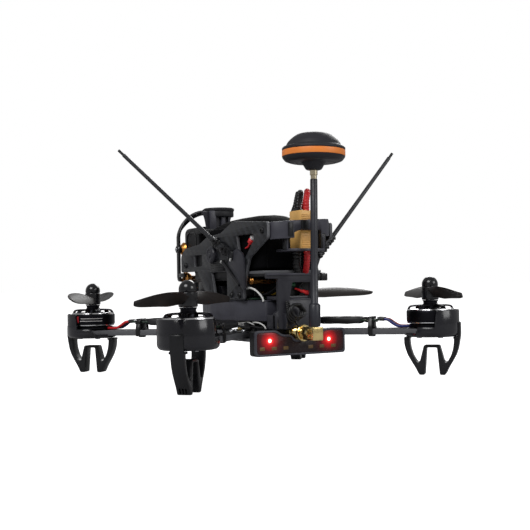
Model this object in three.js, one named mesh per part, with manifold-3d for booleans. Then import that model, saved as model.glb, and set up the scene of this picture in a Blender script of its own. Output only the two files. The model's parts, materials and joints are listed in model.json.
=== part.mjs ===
// A 210 mm class racing quadcopter, +Y forward, +Z up, millimetres. Heights are written above the ground
// that the feet stand on. The whole group is then lowered, so that the frame's origin is the centre
// of the bottom plate's underside.
import * as THREE from "three";
import { mergeVertices } from "three/addons/utils/BufferGeometryUtils.js";
import Module from "manifold-3d";

const wasm = await Module();
wasm.setup();

// ---- driving dimensions -------------------------------------------------------------------
const GAP = 0.3; // between pieces that touch
const WHEELBASE = 209; // motor to motor, across the diagonal
const MOTOR_XY = (WHEELBASE / 2) * Math.SQRT1_2;
const PLATE_BOTTOM = 20.6;
const PLATE_THICK = 1.8;
const ARM_BOTTOM = PLATE_BOTTOM + PLATE_THICK + GAP;
const ARM_THICK = 3.5;
const ARM_TOP = ARM_BOTTOM + ARM_THICK;
const ARM_HALF_WIDTH = 6.5;
const ARM_START = 16; // distance of an arm's inner end from the centre
const STATION_SHIFT = 0.5; // guards and legs sit this far outside the motor's axis
const GUARD = { radius: 15.3, wall: 1.2, bottom: 21.3, rim: 27, top: 36.3 };
const LEG_WIDTH = 7;
const MOTOR = { radius: 13.4, bellBottom: 28.9, bellTop: 36.4, hubTop: 41.5, shaft: 2.4 };
const CONTROLLER = { inner: 64, outer: 30, bottom: 28.8, top: 33, halfWidth: 5.6 };
const PROP = { radius: 63.5, hubRadius: 4.7, bottom: 41.8, top: 49.1, rootAngle: 42, tipAngle: 36 };
const NUT = { radius: 4.5, bottom: 49.4, top: 55.4 };
const COVER = { bottom: 32, top: 43.4, wall: 1.5 };
const SIDE = { inner: 18.6, outer: 20.6, foot: 43.7 };
const DECK = { bottom: 58, top: 59.7, rear: -52, front: 30 };
const BATTERY = { halfWidth: 17, rear: -45, front: 25, bottom: 60, top: 91.5 };
const POWER_PLUG = { left: -1.7, right: 6.7, rear: -60.2, front: -48.6, bottom: 71.3, split: 81.3, top: 92 };
const LEAD_RADIUS = 1.6;
const HOOP = { rear: 62.4, front: 66, halfWidth: 20.2, bar: 1.6, bottom: 55, shoulder: 84, top: 101.8 };
const CAMERA = { halfWidth: 15.2, back: 42, face: 64, bottom: 66.5, top: 89.5 };
const TILT = { y: 64.2, z: 76 }; // the camera's tilt axis runs along X through this point
const SWIVEL = { y: -70, z: 25.7 }; // the video antenna turns about a line along Y at this height
const ANTENNA_LEAN = THREE.MathUtils.degToRad(1);
const TAIL = { halfWidth: 28.1, rear: -56, front: -49, bottom: 13.9, top: 27.6 };

const CORNERS = [
  { name: "front_left", x: -1, y: 1, turn: -1, propAngle: 241 },
  { name: "front_right", x: 1, y: 1, turn: 1, propAngle: 179 },
  { name: "rear_left", x: -1, y: -1, turn: 1, propAngle: 226 },
  { name: "rear_right", x: 1, y: -1, turn: -1, propAngle: 65 },
];

// ---- materials ----------------------------------------------------------------------------
const finish = (color, roughness, metalness = 0) =>
  new THREE.MeshStandardMaterial({ color, roughness, metalness });
const CARBON = finish(0x3d3f45, 0.45);
const PLASTIC = finish(0x2f3238, 0.5);
const MOULDED = finish(0x4a4c56, 0.45);
const STEEL = finish(0xc9ccd0, 0.25, 1);
const BELL_BLACK = finish(0x1d1e22, 0.35, 0.6);
const GOLD = finish(0xd9b04e, 0.3, 1);
const SMOKED = finish(0x2a2320, 0.2);
const COPPER = finish(0xb0622e, 0.4, 1);
const SHRINK = finish(0x17181a, 0.6);
const CONNECTOR = finish(0xe0b566, 0.5);
const WIRE_RED = finish(0xb8262c, 0.45);
const WIRE_BLACK = finish(0x1a1a1c, 0.5);
const CIRCUIT = finish(0x14402a, 0.5);
const LENS_GLASS = finish(0x10141c, 0.08);

// ---- solids and booleans ------------------------------------------------------------------
function solidOf(geometry) {
  const bare = new THREE.BufferGeometry();
  bare.setAttribute("position", geometry.getAttribute("position"));
  if (geometry.index) bare.setIndex(geometry.index);
  const merged = mergeVertices(bare, 1e-4);
  return new wasm.Manifold(
    new wasm.Mesh({
      numProp: 3,
      vertProperties: merged.attributes.position.array,
      triVerts: new Uint32Array(merged.index.array),
    }),
  );
}

function geometryOf(solid) {
  const mesh = solid.getMesh();
  const flat = new THREE.BufferGeometry();
  flat.setAttribute("position", new THREE.BufferAttribute(mesh.vertProperties, 3));
  flat.setIndex(new THREE.BufferAttribute(mesh.triVerts, 1));
  return flat;
}

const join = (...pieces) => geometryOf(pieces.map(solidOf).reduce((all, one) => all.add(one)));
const cut = (body, ...tools) =>
  geometryOf(tools.map(solidOf).reduce((left, tool) => left.subtract(tool), solidOf(body)));

// ---- basic shapes -------------------------------------------------------------------------
function box(x0, x1, y0, y1, z0, z1) {
  const shape = new THREE.BoxGeometry(x1 - x0, y1 - y0, z1 - z0);
  return shape.translate((x0 + x1) / 2, (y0 + y1) / 2, (z0 + z1) / 2);
}

// A cylinder or cone between two points.
function rod(from, to, startRadius, endRadius = startRadius, sides = 16) {
  const a = new THREE.Vector3(...from);
  const b = new THREE.Vector3(...to);
  const shape = new THREE.CylinderGeometry(endRadius, startRadius, a.distanceTo(b), sides);
  const along = b.clone().sub(a).normalize();
  shape.applyQuaternion(new THREE.Quaternion().setFromUnitVectors(new THREE.Vector3(0, 1, 0), along));
  return shape.translate(...a.add(b).multiplyScalar(0.5).toArray());
}

const disc = (radius, z0, z1, sides = 24, x = 0, y = 0) => rod([x, y, z0], [x, y, z1], radius, radius, sides);

// A body turned about the Z axis from a closed profile of [radius, height] points.
function turned(profile, sides = 24) {
  const shape = new THREE.LatheGeometry(profile.map((p) => new THREE.Vector2(...p)), sides);
  return shape.rotateX(Math.PI / 2);
}

function outline(points) {
  return new THREE.Shape(points.map((p) => new THREE.Vector2(...p)));
}

// An outline whose corners are rounded off by the radius given.
function rounded(points, radius) {
  const corners = points.map((p) => new THREE.Vector2(...p));
  const shape = new THREE.Shape();
  corners.forEach((corner, i) => {
    const before = corners[(i + corners.length - 1) % corners.length];
    const after = corners[(i + 1) % corners.length];
    const reach = (other) => Math.min(radius, corner.distanceTo(other) / 2);
    const start = corner.clone().add(before.clone().sub(corner).setLength(reach(before)));
    const end = corner.clone().add(after.clone().sub(corner).setLength(reach(after)));
    if (i === 0) shape.moveTo(start.x, start.y);
    else shape.lineTo(start.x, start.y);
    shape.quadraticCurveTo(corner.x, corner.y, end.x, end.y);
  });
  shape.closePath();
  return shape;
}

const mirrored = (half) => [...half, ...half.map(([u, v]) => [-u, v]).reverse()];

function extruded(shape, depth, curveSegments = 4) {
  return new THREE.ExtrudeGeometry(shape, { depth, bevelEnabled: false, curveSegments });
}
const plateXY = (shape, z0, z1, segments) => extruded(shape, z1 - z0, segments).translate(0, 0, z0);
// The outline's first coordinate runs along Y here, and its second along Z.
const plateYZ = (shape, x0, x1, segments) =>
  extruded(shape, x1 - x0, segments).rotateX(Math.PI / 2).rotateZ(Math.PI / 2).translate(x0, 0, 0);
// The outline's first coordinate runs along X here, and its second along Z.
const plateXZ = (shape, y0, y1, segments) =>
  extruded(shape, y1 - y0, segments).rotateX(Math.PI / 2).translate(0, y1, 0);

// A round tube along a smooth curve through the points.
function tube(points, radius, steps = 10) {
  const curve = new THREE.CatmullRomCurve3(points.map((p) => new THREE.Vector3(...p)));
  const section = new THREE.Shape();
  section.absarc(0, 0, radius, 0, 2 * Math.PI);
  return new THREE.ExtrudeGeometry(section, { steps, extrudePath: curve, curveSegments: 4 });
}

// ---- motor stations -----------------------------------------------------------------------
// Each is written in its own frame: the motor's axis is Z, and +X points away from the body.
function armGeometry() {
  const length = WHEELBASE / 2 - ARM_START;
  const beam = box(-length, 0, -ARM_HALF_WIDTH, ARM_HALF_WIDTH, ARM_BOTTOM, ARM_TOP);
  const pad = disc(12.6, ARM_BOTTOM, ARM_TOP, 20);
  return cut(join(beam, pad), disc(3, ARM_BOTTOM - 1, ARM_TOP + 1, 10));
}

// A round cup whose wall is cut down, and then away, towards the body, where the arm comes in.
function guardGeometry() {
  const { radius, wall, bottom, rim, top } = GUARD;
  const floorTop = ARM_BOTTOM - GAP;
  const cup = turned([
    [4, bottom], [radius, bottom], [radius, top], [radius - wall, top], [radius - wall, floorTop],
    [4, floorTop], [4, bottom],
  ], 28);
  const away = radius + 1;
  const slotHalf = LEG_WIDTH / 2 + GAP;
  return cut(
    cup,
    box(-away, 2, -away, away, rim, top + 1),
    box(-away, -7.3, -away, away, floorTop, rim + 1),
    box(radius - wall - 0.2, away, -slotHalf, slotHalf, bottom - 1, 29.5 + GAP),
  ).translate(STATION_SHIFT, 0, 0);
}

// A W-shaped spring frame: two outer arms, and two inner legs that meet in a crossbar.
function legGeometry() {
  const armTop = GUARD.bottom - GAP;
  const innerHalf = [
    [4, 16.6], [6.7, 6.9], [7.8, 6.5], [9.7, 9.5], [11.2, 13], [12.1, 16.8], [12.1, armTop],
  ];
  const outerHalf = [[14.9, 16.8], [13.7, 12.1], [11.4, 7.8], [9.1, 4], [7.2, 0], [4.2, 0], [2.8, 15.2]];
  const tab = [[14.2, armTop], [14.2, 29.5], [15.8, 29.5], [16, 28], [16, 22.5], [15.3, 20]];
  const flip = (points) => points.map(([r, z]) => [-r, z]).reverse();
  const shape = outline([
    ...innerHalf, ...tab, ...outerHalf, ...flip(outerHalf), [-15.3, armTop], ...flip(innerHalf),
  ]);
  return plateXZ(shape, -LEG_WIDTH / 2, LEG_WIDTH / 2).translate(STATION_SHIFT, 0, 0);
}

function statorGeometry() {
  const bore = MOTOR.shaft + GAP;
  const foot = ARM_TOP + GAP;
  return turned([
    [bore, foot], [12.3, foot], [12.3, 28.4], [6.5, 28.4], [6.5, 29.6], [10.8, 29.6], [10.8, 34.6],
    [bore, 34.6], [bore, foot],
  ], 18);
}

function bellGeometry() {
  const { radius, bellBottom, bellTop, hubTop, shaft } = MOTOR;
  const inner = radius - 1.3;
  const ring = turned([
    [inner, bellBottom], [radius, bellBottom], [radius, bellTop], [inner, bellTop], [inner, bellBottom],
  ]);
  const hub = turned([
    [0, 27.2], [shaft, 27.2], [shaft, 35.4], [4.6, 35.4], [4.6, hubTop], [shaft, hubTop],
    [shaft, 53.6], [0, 53.6],
  ], 12);
  const spokes = Array.from({ length: 5 }, (_, i) =>
    box(4, inner + 0.5, -1.6, 1.6, bellTop - 0.8, bellTop + 1.2).rotateZ((i * 2 * Math.PI) / 5),
  );
  return join(ring, hub, ...spokes);
}

// One twisted blade lofted from oval sections, from inside the hub out to a rounded tip.
function bladeGeometry(turn) {
  const { radius, rootAngle, tipAngle, bottom, top } = PROP;
  const stations = [3.6, 8, 14, 22, 32, 42, 52, 58, 61.6, radius];
  const chordAt = (r) => {
    const root = THREE.MathUtils.smoothstep(r, 2, 22);
    const tip = Math.sqrt(Math.max(0, 1 - ((r - 20) / (radius - 19.6)) ** 3.4));
    return (5.5 + 5 * root) * (r < 20 ? 1 : tip);
  };
  const sides = 6;
  const positions = [];
  for (const r of stations) {
    const chord = chordAt(r);
    const thick = THREE.MathUtils.lerp(2.2, 0.7, THREE.MathUtils.smoothstep(r, 2, 60));
    const twist = THREE.MathUtils.clamp((r - 14) / (radius - 14), 0, 1);
    const slope = THREE.MathUtils.degToRad(THREE.MathUtils.lerp(rootAngle, tipAngle, twist));
    for (let k = 0; k < sides; k++) {
      const around = (k * 2 * Math.PI) / sides;
      const along = (chord / 2) * Math.cos(around);
      const across = (thick / 2) * Math.sin(around) + 0.35 * (1 - Math.cos(around) ** 2);
      const y = along * Math.cos(slope) - across * Math.sin(slope);
      const z = along * Math.sin(slope) + across * Math.cos(slope);
      positions.push(r, turn * y, (bottom + top) / 2 + z);
    }
  }
  const faces = [];
  const quad = (a, b, c, d) => faces.push(a, b, c, a, c, d);
  for (let s = 0; s + 1 < stations.length; s++) {
    for (let k = 0; k < sides; k++) {
      const next = (k + 1) % sides;
      quad(s * sides + k, (s + 1) * sides + k, (s + 1) * sides + next, s * sides + next);
    }
  }
  const last = (stations.length - 1) * sides;
  for (let k = 1; k + 1 < sides; k++) {
    faces.push(0, k, k + 1, last, last + k + 1, last + k);
  }
  if (turn > 0) faces.reverse();
  const blade = new THREE.BufferGeometry();
  blade.setAttribute("position", new THREE.Float32BufferAttribute(positions, 3));
  blade.setIndex(faces);
  return blade;
}

function propellerGeometry(turn) {
  const { hubRadius, bottom, top } = PROP;
  const bore = MOTOR.shaft + GAP;
  const hub = turned([[bore, bottom], [hubRadius, bottom], [hubRadius, top], [bore, top], [bore, bottom]], 12);
  return join(hub, bladeGeometry(turn), bladeGeometry(turn).rotateZ(Math.PI));
}

function nutGeometry() {
  const { radius, bottom, top } = NUT;
  const dome = turned([[0, bottom], [radius, bottom], [radius, 52.4], [3.6, 54.3], [1.6, top], [0, top]], 12);
  return cut(dome, disc(MOTOR.shaft + GAP, bottom - 1, 53.6 + GAP, 12));
}

// A speed controller in heat-shrink, raised off the arm by a clip at its outer end.
function controllerGeometry() {
  const { inner, outer, bottom, top, halfWidth } = CONTROLLER;
  const sleeve = rounded([
    [-halfWidth, bottom], [halfWidth, bottom], [halfWidth, top], [-halfWidth, top],
  ], 1.6);
  const clip = (x) => box(x - 1.6, x + 1.6, -2.2, 2.2, ARM_TOP + GAP, bottom + 1);
  return join(plateYZ(sleeve, -inner, -outer, 2), clip(-outer - 4), clip(-inner + 5));
}

// ---- lower body ---------------------------------------------------------------------------
function bottomPlateGeometry() {
  const half = [[13, -48.4], [20, -32], [20, 32], [14, 46]];
  return plateXY(rounded(mirrored(half), 4), PLATE_BOTTOM, PLATE_BOTTOM + PLATE_THICK);
}

function electronicsGeometry() {
  const board = box(-12.4, 12.4, -24, 24, 28, 29.6);
  const chips = box(-8, 8, -16, 12, 29.4, 31.2);
  const feet = [-10, 10].flatMap((x) => [-22, 22].map((y) => disc(1.2, ARM_BOTTOM, 28.2, 8, x, y)));
  return join(board, chips, ...feet);
}

const transmitterGeometry = () => plateXY(
  rounded([[-9, -43], [9, -43], [9, -28], [-9, -28]], 1.5), ARM_BOTTOM, 27, 2,
);

function coverOutline(inset) {
  const half = [[14, -42], [20, -16], [20, 16], [14.5, 40]];
  return outline(mirrored(half.map(([x, y]) => [x - inset, y - inset * Math.sign(y)])));
}

function lowerCoverGeometry() {
  const { bottom, top, wall } = COVER;
  const shell = cut(plateXY(coverOutline(0), bottom, top), plateXY(coverOutline(wall), bottom - 1, top - wall));
  const post = (x, y) => disc(2.2, ARM_TOP + GAP, top - wall / 2, 10, x, y);
  return join(shell, ...[-15, 15].flatMap((x) => [post(x, -15), post(x, 15)]));
}

// ---- upper body ---------------------------------------------------------------------------
// The carbon side plate, seen from the left: [distance forward, height].
function sidePlateGeometry(side) {
  const plate = outline([
    [58, 61], [58, 75.5], [30, 77.5], [18, 81.5], [0, 82.5], [-17, 88.4], [-57.4, 85.4], [-57.4, 77],
    [-36, 67], [-33, 61], [-28.5, 49], [-28.5, SIDE.foot], [-8, SIDE.foot], [-8, 60], [13, 60],
    [8, SIDE.foot], [18.5, SIDE.foot], [33, 61],
  ]);
  const windows = [
    [[38, 64], [26, 64], [26, 71], [38, 71]],
    [[-21, 80], [-23.5, 70], [-26, 57], [-28, 57], [-31, 67], [-42, 76.5], [-42, 80]],
  ];
  plate.holes = windows.map((points) => new THREE.Path(points.map((p) => new THREE.Vector2(...p))));
  return side > 0 ? plateYZ(plate, SIDE.inner, SIDE.outer) : plateYZ(plate, -SIDE.outer, -SIDE.inner);
}

const deckGeometry = () => plateXY(
  rounded([[-18.3, DECK.rear], [18.3, DECK.rear], [18.3, DECK.front], [-18.3, DECK.front]], 3),
  DECK.bottom, DECK.top, 3,
);

function batteryGeometry() {
  const { halfWidth, rear, front, bottom, top } = BATTERY;
  const plan = rounded([[-halfWidth, rear], [halfWidth, rear], [halfWidth, front], [-halfWidth, front]], 5);
  const crown = turned([[0, -100], [176, -100], [176, -6], [150, 0.4], [100, 1.6], [0, 2.2]], 32);
  crown.scale(0.16, 0.5, 1.6).translate(0, (rear + front) / 2, top - 3.5);
  return geometryOf(solidOf(plateXY(plan, bottom, top, 4)).intersect(solidOf(crown)));
}

function rearBracketGeometry() {
  const frame = outline([
    [-12.4, SIDE.foot], [12.4, SIDE.foot], [12.4, 53.8], [18.3, 53.8], [18.3, 57.7], [-18.3, 57.7],
    [-18.3, 55.9], [-12.4, 55.9],
  ]);
  frame.holes = [new THREE.Path([[-3.5, 45.5], [-3.5, 53.5], [8, 53.5], [8, 49]].map((p) => new THREE.Vector2(...p)))];
  const web = plateXZ(frame, -51.8, -49);
  const foot = box(-12.4, 12.4, -49.5, -38, SIDE.foot, SIDE.foot + 2);
  return join(web, foot);
}

// The band that bulges round the power connector, on two posts, over a slotted shelf.
function connectorGuardGeometry() {
  const bulge = new THREE.Shape();
  bulge.moveTo(-18.3, -56.4);
  bulge.bezierCurveTo(-17.3, -67, 17.3, -67, 18.3, -56.4);
  bulge.lineTo(16.3, -56.4);
  bulge.bezierCurveTo(15.3, -64.4, -15.3, -64.4, -16.3, -56.4);
  bulge.closePath();
  const band = cut(plateXY(bulge, 77, 86.6, 8), box(-8.5, 8.5, -70, -50, 70, 81));
  const shelf = plateXY(rounded([[-13.5, -63.8], [13.5, -63.8], [13.5, -46], [-13.5, -46]], 3), 69.6, 71, 3);
  const posts = [-11.5, 11.5].map((x) => box(x - 1.4, x + 1.4, -63.4, -60.6, 70, 79));
  return join(band, cut(shelf, box(-1.5, 6.5, -61, -40, 68, 72)), ...posts);
}

function hoopOutline(inset) {
  const { halfWidth, bottom, shoulder, top } = HOOP;
  const w = halfWidth - inset;
  const shape = new THREE.Shape();
  shape.moveTo(-w + 3, bottom + inset);
  shape.lineTo(w - 3, bottom + inset);
  shape.quadraticCurveTo(w, bottom + inset, w, bottom + inset + 3);
  shape.lineTo(w, shoulder);
  shape.bezierCurveTo(w - 1, shoulder + 8, w - 9, top - inset, 0, top - inset);
  shape.bezierCurveTo(-w + 9, top - inset, -w + 1, shoulder + 8, -w, shoulder);
  shape.lineTo(-w, bottom + inset + 3);
  shape.quadraticCurveTo(-w, bottom + inset, -w + 3, bottom + inset);
  return shape;
}

function hoopGeometry() {
  const { rear, front, halfWidth, bar } = HOOP;
  const ring = cut(
    plateXZ(hoopOutline(0), rear, front, 6),
    plateXZ(hoopOutline(bar), rear - 1, front + 1, 6),
  );
  const lugs = [-1, 1].map((side) => {
    const edges = [side * halfWidth, side * (halfWidth - bar)];
    return box(Math.min(...edges), Math.max(...edges), 54.5, rear + 1, 58, 60.6);
  });
  const across = (from, to, radius, sides) => [-1, 1].map((side) =>
    rod([side * from, TILT.y, TILT.z], [side * to, TILT.y, TILT.z], radius, radius, sides));
  const bosses = across(halfWidth - bar, halfWidth + 0.5, 2.8, 14);
  return cut(join(ring, ...lugs, ...bosses), ...across(17, 22, 1.5, 10));
}

// A cap over the camera that runs back to a rounded tongue on two posts.
function hoodGeometry() {
  const cap = new THREE.Shape();
  cap.moveTo(11, HOOP.rear - GAP);
  cap.lineTo(-11, HOOP.rear - GAP);
  cap.lineTo(-11, 44);
  cap.absarc(0, 44, 11, Math.PI, 2 * Math.PI, false);
  cap.closePath();
  const roof = plateXY(cap, 98.6, 100.6, 8);
  const base = plateXY(rounded([[-18.3, 30], [18.3, 30], [18.3, 38.6], [-18.3, 38.6]], 1.5), 85.5, 87.3, 2);
  const posts = [-6.5, 6.5].map((x) => box(x - 2.2, x + 2.2, 35.6, 38.4, 86, 99));
  return join(roof, base, ...posts);
}

function cameraGeometry() {
  const { halfWidth, back, face, bottom, top } = CAMERA;
  const block = plateXZ(
    rounded([[-halfWidth, bottom], [halfWidth, bottom], [halfWidth, top], [-halfWidth, top]], 4), back, face, 4);
  const ears = [-1, 1].map((side) => rod(
    [side * (halfWidth - 2), TILT.y, TILT.z], [side * (halfWidth + 0.4), TILT.y, TILT.z], 4.2, 4.2, 14));
  const trunnions = [-1, 1].flatMap((side) => [
    rod([side * halfWidth, TILT.y, TILT.z], [side * 18.2, TILT.y, TILT.z], 4, 2.4, 12),
    rod([side * 17, TILT.y, TILT.z], [side * 21.6, TILT.y, TILT.z], 1.2, 1.2, 8),
  ]);
  return join(block, ...ears, ...trunnions);
}

const lensGeometry = () => turned([
  [0, 0], [8.6, 0], [8.6, 3], [7.2, 3.6], [7.2, 8.4], [6.2, 9.2], [4.4, 8.4], [0, 9.6],
], 20).rotateX(-Math.PI / 2).translate(0, CAMERA.face + GAP, 77.5);

// ---- power connector and leads ------------------------------------------------------------
const connectorOutline = () => {
  const { left, right, rear, front } = POWER_PLUG;
  return rounded([[left, rear], [right, rear], [right, front], [left, front]], 1);
};
const socketGeometry = () => plateXY(connectorOutline(), POWER_PLUG.bottom, POWER_PLUG.split - GAP, 2);
const plugGeometry = () => plateXY(connectorOutline(), POWER_PLUG.split, POWER_PLUG.top, 2);

// Each lead climbs out of the plug, turns over, and comes down on the battery's top.
const redLeadGeometry = () => tube([
  [3.3, -58.4, 92.3], [3.3, -58.4, 97], [5.4, -56.5, 102], [8.7, -51, 103], [11.5, -45, 99.5], [12.8, -38, 93.4],
], LEAD_RADIUS);
const blackLeadGeometry = () => tube([
  [2.2, -51.6, 92.3], [2.2, -51.6, 96], [3, -51.6, 101], [4.3, -50.8, 102.7], [5.9, -48.5, 101.6],
  [7.6, -44, 97.5], [8.6, -38, 93.4],
], LEAD_RADIUS);

// ---- tail light and antennas --------------------------------------------------------------
function tailOutline(inset) {
  const w = TAIL.halfWidth - inset;
  const shape = rounded(mirrored([
    [w, TAIL.bottom + inset], [w, TAIL.top - inset], [15 + inset / 2, TAIL.top - inset],
    [11.5 + inset / 2, 25.1 - inset], [6, 25.1 - inset], [3.6 + inset, 22.1 - inset],
  ]), 1.6);
  return shape;
}

const tailHousingGeometry = () => cut(
  plateXZ(tailOutline(0), TAIL.rear, TAIL.front, 3),
  plateXZ(tailOutline(1.3), TAIL.rear - 1, TAIL.front - 1.4, 3),
);

const tailLensGeometry = () => plateXZ(tailOutline(1.3 + GAP), TAIL.rear, TAIL.rear + 1.4, 3);

// The threaded bulkhead socket, turned about a line along Y.
const antennaSocketGeometry = () => turned([
  [0, 44], [2.4, 44], [2.4, 48.6], [3.1, 48.6], [3.1, 57.4], [4.4, 57.4], [4.4, 59.6], [3, 59.6],
  [3, 65.4], [0, 65.4],
], 14).rotateX(Math.PI / 2).translate(0, 0, SWIVEL.z);

// The swivelling pieces are written about the elbow's own centre.
function elbowGeometry() {
  const cube = box(-3.5, 3.5, -3.5, 3.7, -3.5, 3.6);
  const nut = rod([0, 3, 0], [0, 9.2, 0], 4, 4, 12);
  return cut(join(cube, nut), rod([0, 4.2, 0], [0, 10, 0], 3 + GAP, 3 + GAP, 14));
}

const mastGeometry = () => turned([
  [0, 3.9], [3.1, 3.9], [3.1, 15.2], [2.3, 15.8], [1.95, 16.2], [1.95, 81.7], [1.7, 81.7], [1.7, 86.2],
  [0, 86.2],
], 12);

const mushroomGeometry = () => turned([
  [0, 86.5], [3.7, 86.5], [6.2, 90.4], [13.6, 90.4], [15.4, 91.2], [16.8, 93.6], [16.8, 98.6],
  [14.9, 99.8], [12.5, 102.7], [8.8, 105.4], [4, 106.4], [0, 106.5],
], 24);

// A receiver antenna in its tube, held by a clip on the outside of the side plate.
function receiverGeometry(root, tip) {
  const side = Math.sign(root[0]);
  const near = SIDE.outer + GAP;
  const clip = box(
    Math.min(side * near, side * (near + 3)), Math.max(side * near, side * (near + 3)),
    root[1] - 6, root[1] + 4, root[2] - 5, root[2] + 4,
  );
  return join(clip, rod(root, tip, 1.2, 0.9, 8));
}

// ---- assembly -----------------------------------------------------------------------------
const drone = new THREE.Group();
drone.position.z = -PLATE_BOTTOM;

function add(name, geometry, material, parent = drone) {
  const mesh = new THREE.Mesh(geometry, material);
  mesh.name = name;
  parent.add(mesh);
  return mesh;
}

for (const { name, x, y, turn, propAngle } of CORNERS) {
  const station = new THREE.Group();
  station.position.set(x * MOTOR_XY, y * MOTOR_XY, 0);
  station.rotation.z = Math.atan2(y, x);
  drone.add(station);
  add("arm_" + name, armGeometry(), CARBON, station);
  add("motor_guard_" + name, guardGeometry(), MOULDED, station);
  add("landing_leg_" + name, legGeometry(), PLASTIC, station);
  add("stator_" + name, statorGeometry(), COPPER, station);
  add("motor_bell_" + name, bellGeometry(), BELL_BLACK, station);
  add("speed_controller_" + name, controllerGeometry(), SHRINK, station);
  add("prop_nut_" + name, nutGeometry(), STEEL, station);
  const propeller = add("propeller_" + name, propellerGeometry(turn), SMOKED, station);
  propeller.rotation.z = THREE.MathUtils.degToRad(propAngle) - station.rotation.z;
}

add("bottom_plate", bottomPlateGeometry(), CARBON);
add("flight_controller", electronicsGeometry(), CIRCUIT);
add("video_transmitter", transmitterGeometry(), PLASTIC);
add("lower_cover", lowerCoverGeometry(), MOULDED);
add("side_plate_left", sidePlateGeometry(-1), CARBON);
add("side_plate_right", sidePlateGeometry(1), CARBON);
add("upper_deck", deckGeometry(), CARBON);
add("rear_bracket", rearBracketGeometry(), MOULDED);
add("connector_guard", connectorGuardGeometry(), MOULDED);
add("rear_standoff", rod([-18.3, -32, 54.3], [18.3, -32, 54.3], 2, 2, 12), GOLD);
add("front_standoff", rod([-18.4, 57.6, 57.2], [18.4, 57.6, 57.2], 2, 2, 12), GOLD);
add("battery_pack", batteryGeometry(), SHRINK);
add("battery_plug", plugGeometry(), CONNECTOR);
add("power_socket", socketGeometry(), CONNECTOR);
add("battery_lead_red", redLeadGeometry(), WIRE_RED);
add("battery_lead_black", blackLeadGeometry(), WIRE_BLACK);
add("front_hoop", hoopGeometry(), MOULDED);
add("camera_hood", hoodGeometry(), MOULDED);
add("camera_housing", cameraGeometry(), PLASTIC);
add("camera_lens", lensGeometry(), LENS_GLASS);
add("tail_light_housing", tailHousingGeometry(), PLASTIC);
add("tail_light_lens", tailLensGeometry(), SMOKED);
add("antenna_socket", antennaSocketGeometry(), GOLD);
add("receiver_antenna_left", receiverGeometry([-22.4, -16, 68.7], [-75, 19, 131]), WIRE_BLACK);
add("receiver_antenna_right", receiverGeometry([22.4, -40, 68.2], [75, -40, 128.8]), WIRE_BLACK);

const swivel = new THREE.Group();
swivel.position.set(0, SWIVEL.y, SWIVEL.z);
swivel.rotation.y = ANTENNA_LEAN;
drone.add(swivel);
add("antenna_elbow", elbowGeometry(), GOLD, swivel);
add("antenna_mast", mastGeometry(), WIRE_BLACK, swivel);
add("antenna_mushroom", mushroomGeometry(), PLASTIC, swivel);

export default drone;
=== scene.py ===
"""A 210 mm racing quadcopter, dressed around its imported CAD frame.

Sizes are in millimetres. Heights are above the ground that the feet stand on, +Y is forward and +X is
to the right, and placed() turns them into the row frame's metres.
"""
import json
import math

import bmesh
import bpy
from mathutils import Matrix, Vector


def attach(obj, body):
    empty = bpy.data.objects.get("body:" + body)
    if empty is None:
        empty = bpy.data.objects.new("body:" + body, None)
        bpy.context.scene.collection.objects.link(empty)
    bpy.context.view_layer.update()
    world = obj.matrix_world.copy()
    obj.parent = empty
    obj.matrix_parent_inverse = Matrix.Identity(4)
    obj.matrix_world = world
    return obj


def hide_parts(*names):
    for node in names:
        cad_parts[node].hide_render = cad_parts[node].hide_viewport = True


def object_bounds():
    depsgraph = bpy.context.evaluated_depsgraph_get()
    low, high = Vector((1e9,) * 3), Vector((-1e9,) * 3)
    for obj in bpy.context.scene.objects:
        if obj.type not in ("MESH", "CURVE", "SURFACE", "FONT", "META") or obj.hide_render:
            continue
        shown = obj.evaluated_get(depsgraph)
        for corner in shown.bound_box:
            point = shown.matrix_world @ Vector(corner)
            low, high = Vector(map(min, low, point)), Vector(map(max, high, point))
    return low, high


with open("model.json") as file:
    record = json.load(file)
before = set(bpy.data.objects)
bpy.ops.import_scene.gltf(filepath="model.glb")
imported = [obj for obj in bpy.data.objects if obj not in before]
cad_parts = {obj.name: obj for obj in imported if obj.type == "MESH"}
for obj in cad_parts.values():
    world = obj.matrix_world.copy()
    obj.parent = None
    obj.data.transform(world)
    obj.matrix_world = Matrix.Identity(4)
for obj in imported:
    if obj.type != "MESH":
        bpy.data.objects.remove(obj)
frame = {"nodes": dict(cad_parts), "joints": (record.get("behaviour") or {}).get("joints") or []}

cad_bounds = [[float(v) for v in corner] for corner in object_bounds()]

MM = 0.001
GROUND = cad_bounds[0][2]  # the row frame's height of the ground, in metres
SCENE = bpy.context.scene
TURN = 2 * math.pi


def joint(name):
    return next(j for j in frame["joints"] if j["name"] == name)


def height_of(z_metres):
    """The height above the ground, in mm, of a row-frame z."""
    return (z_metres - GROUND) / MM


def station_places():
    """Each motor's place: its axis is Z, and +X points away from the body."""
    places = {}
    for j in frame["joints"]:
        if j["name"].startswith("spin_"):
            x, y = j["pos_m"][0] / MM, j["pos_m"][1] / MM
            turn = Matrix.Rotation(math.atan2(y, x), 4, "Z")
            places[j["name"].removeprefix("spin_")] = Matrix.Translation((x, y, 0)) @ turn
    return places


STATIONS = station_places()
SIDE_IN, SIDE_OUT = 18.6, 20.6      # the side plates' inner and outer faces
COVER_TOP = 43.4
DECK_TOP = 59.7
SHIFT = 0.5                         # guards and legs sit this far outside the motor's axis
ARM_LOW, ARM_TOP = 22.7, 26.2
BOLT_CIRCLE = 8.2                   # the radius on which a motor's four screws sit
BOLT_TURNS = (45, 135, 225, 315)
BLADE_TIP, BLADE_HEIGHT = 63.4, 45.3
TILT_Y, TILT_HEIGHT = 64.2, 76      # the axis on which the camera tilts
LENS_PLACE = (0, 64.3, 77.5)


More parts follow.
